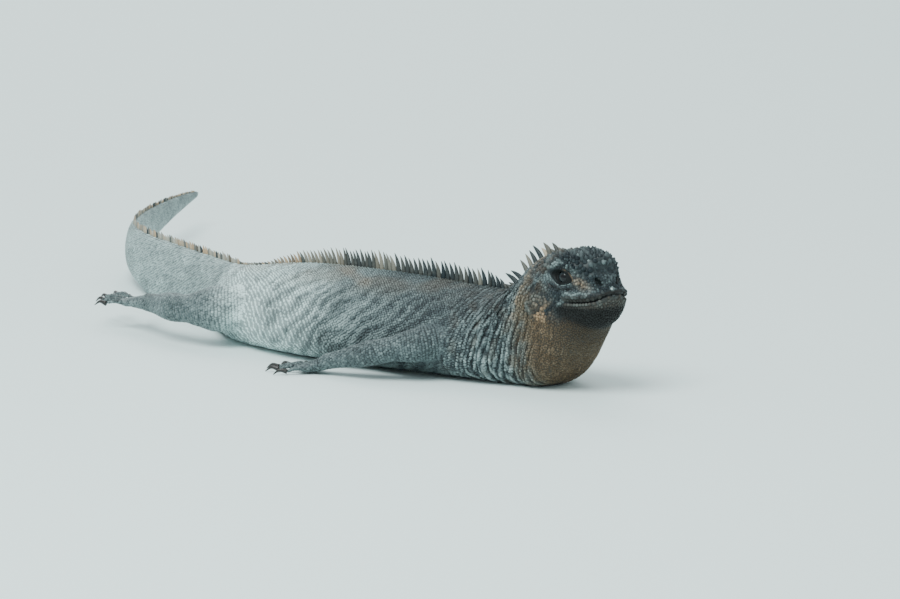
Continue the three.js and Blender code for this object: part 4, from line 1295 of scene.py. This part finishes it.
def head_marks(z, found):
    """A dark face with pale flecks, a brown throat, and rust behind the jaw's corner."""
    face = 0.01 + 0.03 * z.fine + 0.04 * z.grain
    face += 0.05 * bell((z.at - 52) / 12) * eased(z.height, 80, 92) * (1 + z.fine)
    # The face, with painted light on the crests of the neck's folds.
    found.silver = found.silver * (1 - z.head) + z.head * (face + 0.14 * z.neck * (z.folds + 0.4))
    throat = eased(70 - z.height, 0, 16) * (1 - eased(z.at, 58, 74))
    found.brown += throat * 0.95 * eased(z.at, 8, 28)
    found.brown += 0.45 * z.head * eased(z.at, 40, 58) * eased(mottle(z.points, 12, 13), -1, 0.8)
    flecks = (0.12 + 0.16 * eased(z.fine, -0.3, 1.2)) * eased(z.grain, -1, 1)
    found.tan += throat * eased(z.at, 34, 50) * flecks
    rust = bell((z.at - 52 - 0.25 * (66 - z.height)) / 7) * bell((z.height - 65) / 10) * z.head
    found.tan += rust * 0.95 * eased(z.grain + z.fine, -0.8, 0.7)


def neck_marks(z, found):
    """Painted shade in the furrows between the folds, brown behind the jaw, and a pale line at the nape."""
    behind_jaw = z.neck * (1 - eased(z.at, 76, 96))
    line = bell((z.at - 79 - 0.12 * (90 - z.height) - 2.5 * z.fine) / 4)
    nape = line * eased(z.height, 46, 66) * ~z.leg
    found.silver += 0.06 * behind_jaw + 0.12 * nape
    found.tan += 0.4 * nape * eased(z.grain + z.fine, -0.4, 1.6)
    found.brown += 0.3 * z.neck * eased(mottle(z.points, 15, 11), 0.1, 1.2)
    found.brown += 0.45 * behind_jaw + 0.35 * nape
    # Painted shade in the furrows of the neck's folds.
    found.dark += z.neck * 0.4 * eased(-z.folds, 0.1, 0.9)
    found.dark += 0.45 * z.neck * eased(z.height, 46, 64) * eased(z.at, 92, 108)


def jaw_marks(z, found):
    """A dark jowl with a pale cheek behind it, a near black chin, and specks of salt."""
    jowl = z.head * bell((z.at - 40) / 8) * bell((z.height - 72) / 6)
    found.silver *= 1 - 0.8 * jowl
    cheek = z.head * bell((z.at - 54) / 7) * bell((z.height - 71) / 8)
    found.silver += 0.07 * cheek * (1 + z.fine)
    chin = z.head * eased(77 - z.height, 0, 5) * (1 - eased(z.at + 0.35 * (60 - z.height), 28, 48))
    found.silver *= 1 - 0.8 * chin
    found.dark += chin * (0.45 + 0.55 * eased(z.height - 47 - 0.5 * z.at, -5, 5))
    for station, share in SALT_SPOTS:
        spot = skin_point(station, girth_angle(station, share))[0]
        found.silver += 0.8 * bell(gap(z.points, spot) / 1.6)


def eye_marks(z, found):
    """A tan streak in front of each eye, a pale brow, and painted shade in the creases over and under it."""
    streak, brow, fold = np.zeros((3, len(z.points)))
    for centre, outward, forward in EYES:
        front, over = on_axes(z.points, centre, side_axes(outward, forward))
        near = gap(z.points, centre) < 30
        streak += near * bell((front - 18) / 6.5) * bell((over + 1.4 + 0.4 * (front - 14)) / 3.2)
        brow += near * bell((front - 1) / 10) * bell((over - 9.6 + 0.02 * front**2) / 2.4)
        under = over + 9.6 - 0.012 * (front - 2) ** 2
        fold += near * bell(under / 1.3) * (1 - eased(np.abs(front - 1), 9, 15))
        above = over - 7.6 + 0.02 * front**2
        fold += 0.7 * near * bell(above / 1.2) * (1 - eased(np.abs(front), 6, 11))
    found.tan += 0.6 * z.head * streak * eased(z.grain, -1.2, 0.6)
    found.brown += 0.5 * z.head * streak
    found.silver += 0.3 * z.head * brow * eased(z.grain + z.fine, -0.6, 0.8)
    found.silver += 0.3 * z.head * streak * eased(z.grain, -1, 1)
    # Painted shade in the creases under the brow and under the eye.
    found.dark += 0.9 * z.head * fold


def mouth_marks(z, found):
    """Brown lips with thin pale edges, the upper lip's top partly a painted highlight and its lower part near
    black with painted shade, and painted shade in the slit and in the nostrils and ears.
    """
    at, above = z.at, z.above
    lips = z.head * (1 - eased(at, 28, 36))
    # A pale band along the upper lip's top: pale scales with a painted highlight.
    found.silver += lips * 0.17 * bell((above - 7.0) / 1.8) * eased(at, 4, 12)
    found.silver += lips * 0.07 * bell((above + 1.5) / 0.6) * stretch_of(at, 8, 14, 24, 30)
    found.silver += z.head * 0.2 * bell(corner_fold(at, above) / 1.8) * bell((above + 1) / 5)
    found.brown += lips * (0.4 * eased(-above, 0.5, 2) + 0.5 * bell((above - 2.6) / 2.0))
    # Painted shade, near black, on the upper lip's lower part.
    found.dark += lips * 0.75 * bell((above - 2.4) / 2.2)
    # Painted shade in the mouth's slit.
    found.dark += 0.9 * z.head * bell(above / 0.8) * (1 - eased(at, 24, LIP_END))
    # Painted shade in the hollows of nostrils and ears.
    for openings, strength, inner, outer in ((NOSTRILS, 1.2, 2.2, 3.1), (EARS, 0.4, 3.2, 5)):
        for centre, _, _ in openings:
            found.dark += strength * (1 - eased(gap(z.points, centre), inner, outer))


def markings(s, points):
    """Shares of silver, tan, brown and near black at places; a station below 0 is on a leg."""
    zones, found = zones_of(s, points), SimpleNamespace()
    for paint in (body_marks, head_marks, neck_marks, jaw_marks, eye_marks, mouth_marks):
        paint(zones, found)
    return {label: np.clip(values, 0, 1) for label, values in vars(found).items()}


# Materials, with the colours that the marks mix
SLATE, SILVER, TAN = (0.030, 0.044, 0.050, 1), (0.70, 0.88, 0.87, 1), (0.34, 0.22, 0.125, 1)
HEAD_SLATE, BROWN, BUFF = (0.019, 0.027, 0.032, 1), (0.105, 0.070, 0.038, 1), (0.38, 0.29, 0.18, 1)
HORN_DARK, HORN_PALE, HORN_TAN = (0.016, 0.026, 0.031, 1), (0.60, 0.60, 0.50, 1), (0.46, 0.33, 0.20, 1)
NEAR_BLACK = (0.007, 0.0075, 0.007, 1)


def new_material(name, colour, finish):
    """A material whose colour is a value, or a function that makes it in the material's tree."""
    material = bpy.data.materials.new(name)
    material.use_nodes = True
    tree = material.node_tree
    paint = colour(tree) if callable(colour) else colour
    set_inputs(tree, tree.nodes["Principled BSDF"], {"Base Color": paint, **finish})
    return material


def hide_material(name, colours, pit_shade, variety, wet=0.1, gloss=0.24):
    """Reptile skin: its colours are mixed by the marks on each place, with painted shade that darkens each
    scale towards its root and the skin between the scales.
    """
    base, light, tan = colours

    def hide_colour(tree):
        def mark(label, output="Fac"):
            return add_node(tree, "ShaderNodeAttribute", {}, output, attribute_name=label)

        def mixed(amount, first, second, blend="MIX"):
            inputs = {"Factor": amount, "A": first, "B": second}
            return add_node(tree, "ShaderNodeMix", inputs, data_type="RGBA", blend_type=blend)

        def maths(operation, first, second):
            inputs = {0: first, 1: second}
            return add_node(tree, "ShaderNodeMath", inputs, operation=operation, use_clamp=True)

        place = add_node(tree, "ShaderNodeTexCoord", {}, "Object")
        speckle = add_node(tree, "ShaderNodeTexNoise", {"Vector": place, "Scale": 420, "Detail": 3}, "Fac")
        grains = maths("MULTIPLY", speckle, 3 * variety)
        tints = maths("ADD", maths("MULTIPLY", mark("tint"), variety), grains)
        pale = maths("ADD", mark("silver"), maths("SUBTRACT", tints, 2 * variety))
        colour = mixed(pale, base, light)
        colour = mixed(maths("MULTIPLY", mark("brown"), 0.8), colour, mixed(pale, BROWN, BUFF))
        colour = mixed(mark("tan"), colour, tan)
        colour = mixed(maths("MULTIPLY", mark("dark"), 0.96), colour, NEAR_BLACK)
        # Painted shade: each scale's colour darkens towards its root, and the bare skin between the scales,
        # which has no scale height, is darkest.
        rise = add_node(tree, "ShaderNodeSeparateXYZ", {0: mark("own_place", "Vector")}, "Z")
        span = {"Value": rise, "From Min": -0.1, "From Max": 0.85, "To Min": pit_shade, "To Max": 1.0}
        depth = add_node(tree, "ShaderNodeMapRange", span, interpolation_type="SMOOTHSTEP")
        return mixed(1.0, colour, depth, "MULTIPLY")

    return new_material(name, hide_colour, {
        "Roughness": 0.52, "Specular IOR Level": gloss, "Coat Weight": wet, "Coat Roughness": 0.3,
    })


def eye_colour(tree):
    """Near black pupil and rim, with a slightly lighter iris between them."""
    ramp = tree.nodes.new("ShaderNodeValToRGB")
    stops = ramp.color_ramp.elements
    stops[0].position, stops[0].color = 0.60, (0.008, 0.009, 0.010, 1)
    stops[1].position, stops[1].color = 0.93, (0.002, 0.002, 0.003, 1)
    for position, colour in ((0.7, (0.018, 0.024, 0.027, 1)), (0.88, (0.020, 0.028, 0.031, 1))):
        stops.new(position).color = colour
    set_inputs(tree, ramp, {"Fac": add_node(tree, "ShaderNodeAttribute", {}, "Fac", attribute_name="gaze")})
    return ramp.outputs["Color"]


body_material = hide_material("body_hide", (SLATE, SILVER, TAN), 0.42, 0.15)
head_material = hide_material("head_hide", (HEAD_SLATE, SILVER, TAN), 0.68, 0.06, 0.03, 0.15)
crest_material = hide_material("crest_horn", (HORN_DARK, HORN_PALE, HORN_TAN), 1.0, 0.07)
eye_material = new_material("eye_dark", eye_colour, {
    "Roughness": 0.2, "Specular IOR Level": 0.2, "Coat Weight": 0.25, "Coat Roughness": 0.06,
})
claw_material = new_material("claw_horn", (0.02, 0.018, 0.017, 1), {"Roughness": 0.35})
for eye in eyes:
    eye.data.materials.append(eye_material)
for claw in claws:
    claw.data.materials.append(claw_material)


# Scales of body, tail, legs and head
def scale_piece(name, shape, roots, material):
    marks = markings(roots.s, roots.points)
    marks["tint"] = chance.uniform(0, 1, len(roots.s))
    set_on_roots(name, shape, roots, marks, material)


CROWN_HEIGHT, CROWN_END = 100, 66
FLANK_RANGES = ((84, 125), (125, 175), (175, 240), (240, 320), (320, VENT))
TAIL_RANGES = ((VENT, 520), (520, 660), (660, TAIL_TIP - 6))
for i, (start, end) in enumerate(FLANK_RANGES):
    scale_piece(f"body_scales_{i + 1}", GRANULE, body_rows(start, end), body_material)
for i, (start, end) in enumerate(TAIL_RANGES):
    scale_piece(f"tail_scales_{i + 1}", KEELED, body_rows(start, end), body_material)
for number, (name, (tubes, _)) in enumerate(legs.items()):
    rows = thinned(limb_rows(number, tubes), 0.42)
    scale_piece(f"scales_{name}", GRANULE, rows, body_material)
head = head_roots()
crown = (head.points[:, 2] > CROWN_HEIGHT) & (head.s < CROWN_END)
scale_piece("head_plates", PLATE, head.kept(~crown), head_material)
uneven = chance.uniform(0.7, 1.35, len(head.s))
head.sizes *= np.where(crown, 1.14, 1.0)[:, None]
crown_rise = (1.6 + 0.9 * bell((head.s - 32) / 13)) * uneven * (0.3 + 0.7 * eased(head.s, 9, 19))
head.sizes[:, 2] *= np.where(crown, crown_rise, 1.1)
scale_piece("crown_tubercles", CONE, head.kept(crown), head_material)
scale_piece("lip_plates", PLATE, lip_roots(), head_material)


# A point of the skin behind the shoulder and this far off the body's own grid is on a leg
LEGS_START, OFF_BODY = 130, 2.6
LIMB_STEPS = 50


def skin_stations():
    """The station of each point of the finished skin, below 0 on the legs."""
    body = tree_of(body_points)
    found = [body.find(Vector(point)) for point in skin_places]
    stations = np.array([body_s[i] for _, i, _ in found])
    far = np.array([distance for _, _, distance in found])
    shares = np.linspace(0, 1, LIMB_STEPS)
    limbs = tree_of(np.concatenate([tubes[0][1](shares) for tubes, _ in legs.values()]))
    for i in np.flatnonzero((far > OFF_BODY) & (stations > LEGS_START)):
        nearest = limbs.find(Vector(skin_places[i]))[1]
        stations[i] = -shares[nearest % LIMB_STEPS] - 0.01
    return stations


SKIN_TINT = 0.3
add_marks(skin.data, markings(skin_stations(), skin_places))
add_marks(skin.data, {"tint": np.full(len(skin_places), SKIN_TINT)})
# The bare skin has no scale height, so it takes almost the full painted shade between the scales.
skin.data.materials.clear()
skin.data.materials.append(body_material)

# Lids: folded rings round each eye, from the eyeball out to the skin
LID_FOLDS = 4
LID_STEPS, LID_ROWS = 72, 22
OPENING_LONG, OPENING_TALL, OPENING_BACK = 5.4, 4.3, 0.5


def lid_form(centre, outward, forward):
    """The lids' outer face in rows from the eye's opening to the skin, and an inner face under it."""
    along, up = side_axes(outward, forward, LID_TILT)
    shares = np.linspace(0, 1, LID_ROWS)
    rings = []
    for angle in np.linspace(0, 2 * np.pi, LID_STEPS, endpoint=False):
        cosine, sine = math.cos(angle), math.sin(angle)
        inner = np.array([OPENING_LONG * cosine - OPENING_BACK, OPENING_TALL * sine])
        outer = lid_radius(angle) * 1.1 * np.array([LID_LONG * cosine, LID_TALL * sine])
        flat = inner + (outer - inner) * shares[:, None]
        aside = along * flat[:, :1] + up * flat[:, 1:]
        rim = centre + aside[-1]
        hit = skin_tree.ray_cast(Vector(rim + outward * 12), Vector(-outward), 24)[0]
        skin_depth = EYE_INSET if hit is None else (np.array(hit) - centre) @ outward
        ball_depth = math.sqrt(max((EYE_RADIUS + 0.35) ** 2 - inner @ inner, 0))
        ball = np.sqrt(np.maximum((EYE_RADIUS + 0.5) ** 2 - (flat**2).sum(1), 0))
        depth = ball_depth + (skin_depth - 0.3 - ball_depth) * eased(shares, 0, 1)
        arch = np.sin(np.pi * shares)
        depth += (max(sine, 0) * 1.1 + 0.2) * arch
        depth += 0.34 * np.sin(2 * np.pi * LID_FOLDS * shares - 0.6) * arch**0.5
        depth = np.maximum(depth, np.where(shares < 0.5, ball, 0))
        top = centre + aside + outward * depth[:, None]
        under = top[::-1] - outward * np.linspace(2.4, 0.5, LID_ROWS)[:, None]
        rings.append(np.concatenate([top, under]))
    points, count = np.concatenate(rings), 2 * LID_ROWS
    faces = []
    for i in range(LID_STEPS):
        faces += ring_faces(i * count, (i + 1) % LID_STEPS * count, count, count)
    a, b, c = (points[corner] for corner in faces[0][:3])
    faces_out = np.cross(b - a, c - a) @ outward > 0
    return points, faces if faces_out else [face[::-1] for face in faces]


def lid_marks(points, centre, outward, forward):
    """The lids are near black towards the eye, dark skin with painted shade of the sunken eye, with thin pale
    folds below and a tan edge above.
    """
    front, over = on_axes(points, centre, side_axes(outward, forward, LID_TILT))
    far = lid_distance(points, centre, outward, forward)
    low, grain = eased(-over, -1, 4), eased(mottle(points, 2.6, 12), -1.2, 0.6)
    edge = bell((far - 0.98) / 0.06) * eased(over, -2, 1)
    return {
        "silver": low * grain * (0.36 * bell((far - 1.02) / 0.05) + 0.3 * bell((far - 0.82) / 0.045)),
        "tan": 0.7 * edge * eased(front, -1, 4) * grain,
        "brown": np.zeros(len(points)),
        # Dark skin and painted shade, deepest towards the eye.
        "dark": 0.74 * (1 - eased(far, 0.8, 1.04)) + 0.2,
        "tint": np.full(len(points), SKIN_TINT),
    }


def lid_roots(points, outward, number):
    """Roots of the small scales that cover the outer lids in rings, from the lid's own grid."""
    row, step = np.meshgrid(np.arange(10, LID_ROWS - 1, 2), np.arange(0, LID_STEPS, 2), indexing="ij")
    step = (step + (row // 2) % 2).ravel() % LID_STEPS
    row = row.ravel()
    grid = points.reshape(LID_STEPS, 2 * LID_ROWS, 3)[:, :LID_ROWS]
    places = grid[step, row]
    beside = grid[(step + 1) % LID_STEPS, row]
    ahead = unit(beside - places)
    lifted = np.cross(ahead, unit(grid[step, row - 1] - places))
    lifted = unit(lifted * np.sign(lifted @ outward)[:, None])
    sizes = columns(np.clip(gap(beside, places) * 2.1, 0.5, 1.5), 0.95, 0.3)
    spots = columns(0.9 + 0.001 * step, 0.9 + 0.04 * number + 0.0015 * row)
    return Roots(places, lifted, ahead, sizes, spots, np.full(len(row), EYE_STATION))


for number, (side, eye) in enumerate(zip(("left", "right"), EYES)):
    points, faces = lid_form(*eye)
    lids = new_piece(f"eyelids_{side}", new_mesh(f"eyelids_{side}", points, faces))
    add_marks(lids.data, lid_marks(points, *eye))
    # The lids get a height near a scale's top, so the painted shade between the scales barely darkens them.
    add_marks(lids.data, {"own_place": np.tile([0, 0, 0.75], (len(points), 1))}, "FLOAT_VECTOR")
    lids.data.materials.append(head_material)
    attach(lids, "root")
    rings = lid_roots(points, eye[1], number)
    marks = lid_marks(rings.points, *eye)
    marks["tint"] = chance.uniform(0, 1, len(rings.s))
    set_on_roots(f"lid_scales_{side}", GRANULE, rings, marks, head_material)


def add_crest():
    """Spines along the skin's highest line: thorns on the nape, blades down the back and tail."""
    s, length, chord, thick, rake, pale = crest_roots().T
    points, _, forward = skin_point(s, 90, -SCALE_DEPTH)
    for i, point in enumerate(points):
        top = skin_tree.ray_cast(Vector(point + [0, 0, 20]), Vector((0, 0, -1)), 40)[0]
        if top is not None:
            points[i] = top
    slope = np.arctan2(top_height(s - 2) - top_height(s + 2), 4)
    lean_back = (np.radians(rake) + slope)[:, None]
    upright = np.array([0, 0, 1])
    up = upright * np.cos(lean_back) - forward * np.sin(lean_back)
    ahead = upright * np.sin(lean_back) + forward * np.cos(lean_back)
    roots = Roots(points, up, ahead, columns(chord, thick, length), bake_spot(s, 0), s)
    tan = 0.9 * pale * chance.uniform(0.3, 1, len(s))
    tan += 0.9 * eased(s, 335, 345) * chance.uniform(-0.9, 0.8, len(s))
    marks = {"silver": np.clip(pale, 0, 1), "tan": np.clip(tan, 0, 1)}
    marks["tint"] = chance.uniform(0, 1, len(s))
    on_nape = s < BACK_CREST_START
    for name, shape, chosen in (
        ("nape_spines", unit_shape("thorn", spine_shape(3.4, 1.25)), on_nape),
        ("back_crest", unit_shape("blade", spine_shape(2.1, 0.85)), ~on_nape),
    ):
        own_marks = {label: values[chosen] for label, values in marks.items()}
        set_on_roots(name, shape, roots.kept(chosen), own_marks, crest_material, 0.04)


add_crest()
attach(skin, "root")
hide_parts("head", "lower_jaw", "neck", "torso", *[f"tail_{i}" for i in range(1, 5)],
            *[f"{name}_{part}" for name in legs for part in ("upper", "lower", "foot")])

# The pale floor, the lights and the sky
FLOOR_REACH = 60
LIGHT_COLOUR = (0.93, 1.0, 0.99)
LIT_PLACE = Vector((0, -0.1, 0.04))
SKY_COLOUR, SKY_STRENGTH = (0.78, 0.86, 0.88, 1), 0.96


def add_floor():
    corners = [(x * FLOOR_REACH, y * FLOOR_REACH, 0) for x, y in ((-1, -1), (1, -1), (1, 1), (-1, 1))]
    mesh = bpy.data.meshes.new("floor")
    mesh.from_pydata(corners, [], [(0, 1, 2, 3)])
    mesh.materials.append(new_material("pale_floor", (0.84, 0.98, 0.97, 1), {"Roughness": 0.8}))
    new_piece("floor", mesh)


def add_light(name, place, size, power):
    data = bpy.data.lights.new(name, "AREA")
    data.shape = "DISK"
    data.size = size
    data.energy = power
    data.color = LIGHT_COLOUR
    lamp = new_piece(name, data)
    lamp.location = place
    lamp.rotation_euler = (LIT_PLACE - Vector(place)).to_track_quat("-Z", "Y").to_euler()


add_floor()
add_light("key", (0.3, -1.9, 2.7), 2.0, 106)
add_light("rim", (-1.8, 1.8, 2.0), 2.2, 36)
world = bpy.data.worlds.new("studio")
bpy.context.scene.world = world
world.use_nodes = True
set_inputs(world.node_tree, world.node_tree.nodes["Background"],
           {"Color": SKY_COLOUR, "Strength": SKY_STRENGTH})
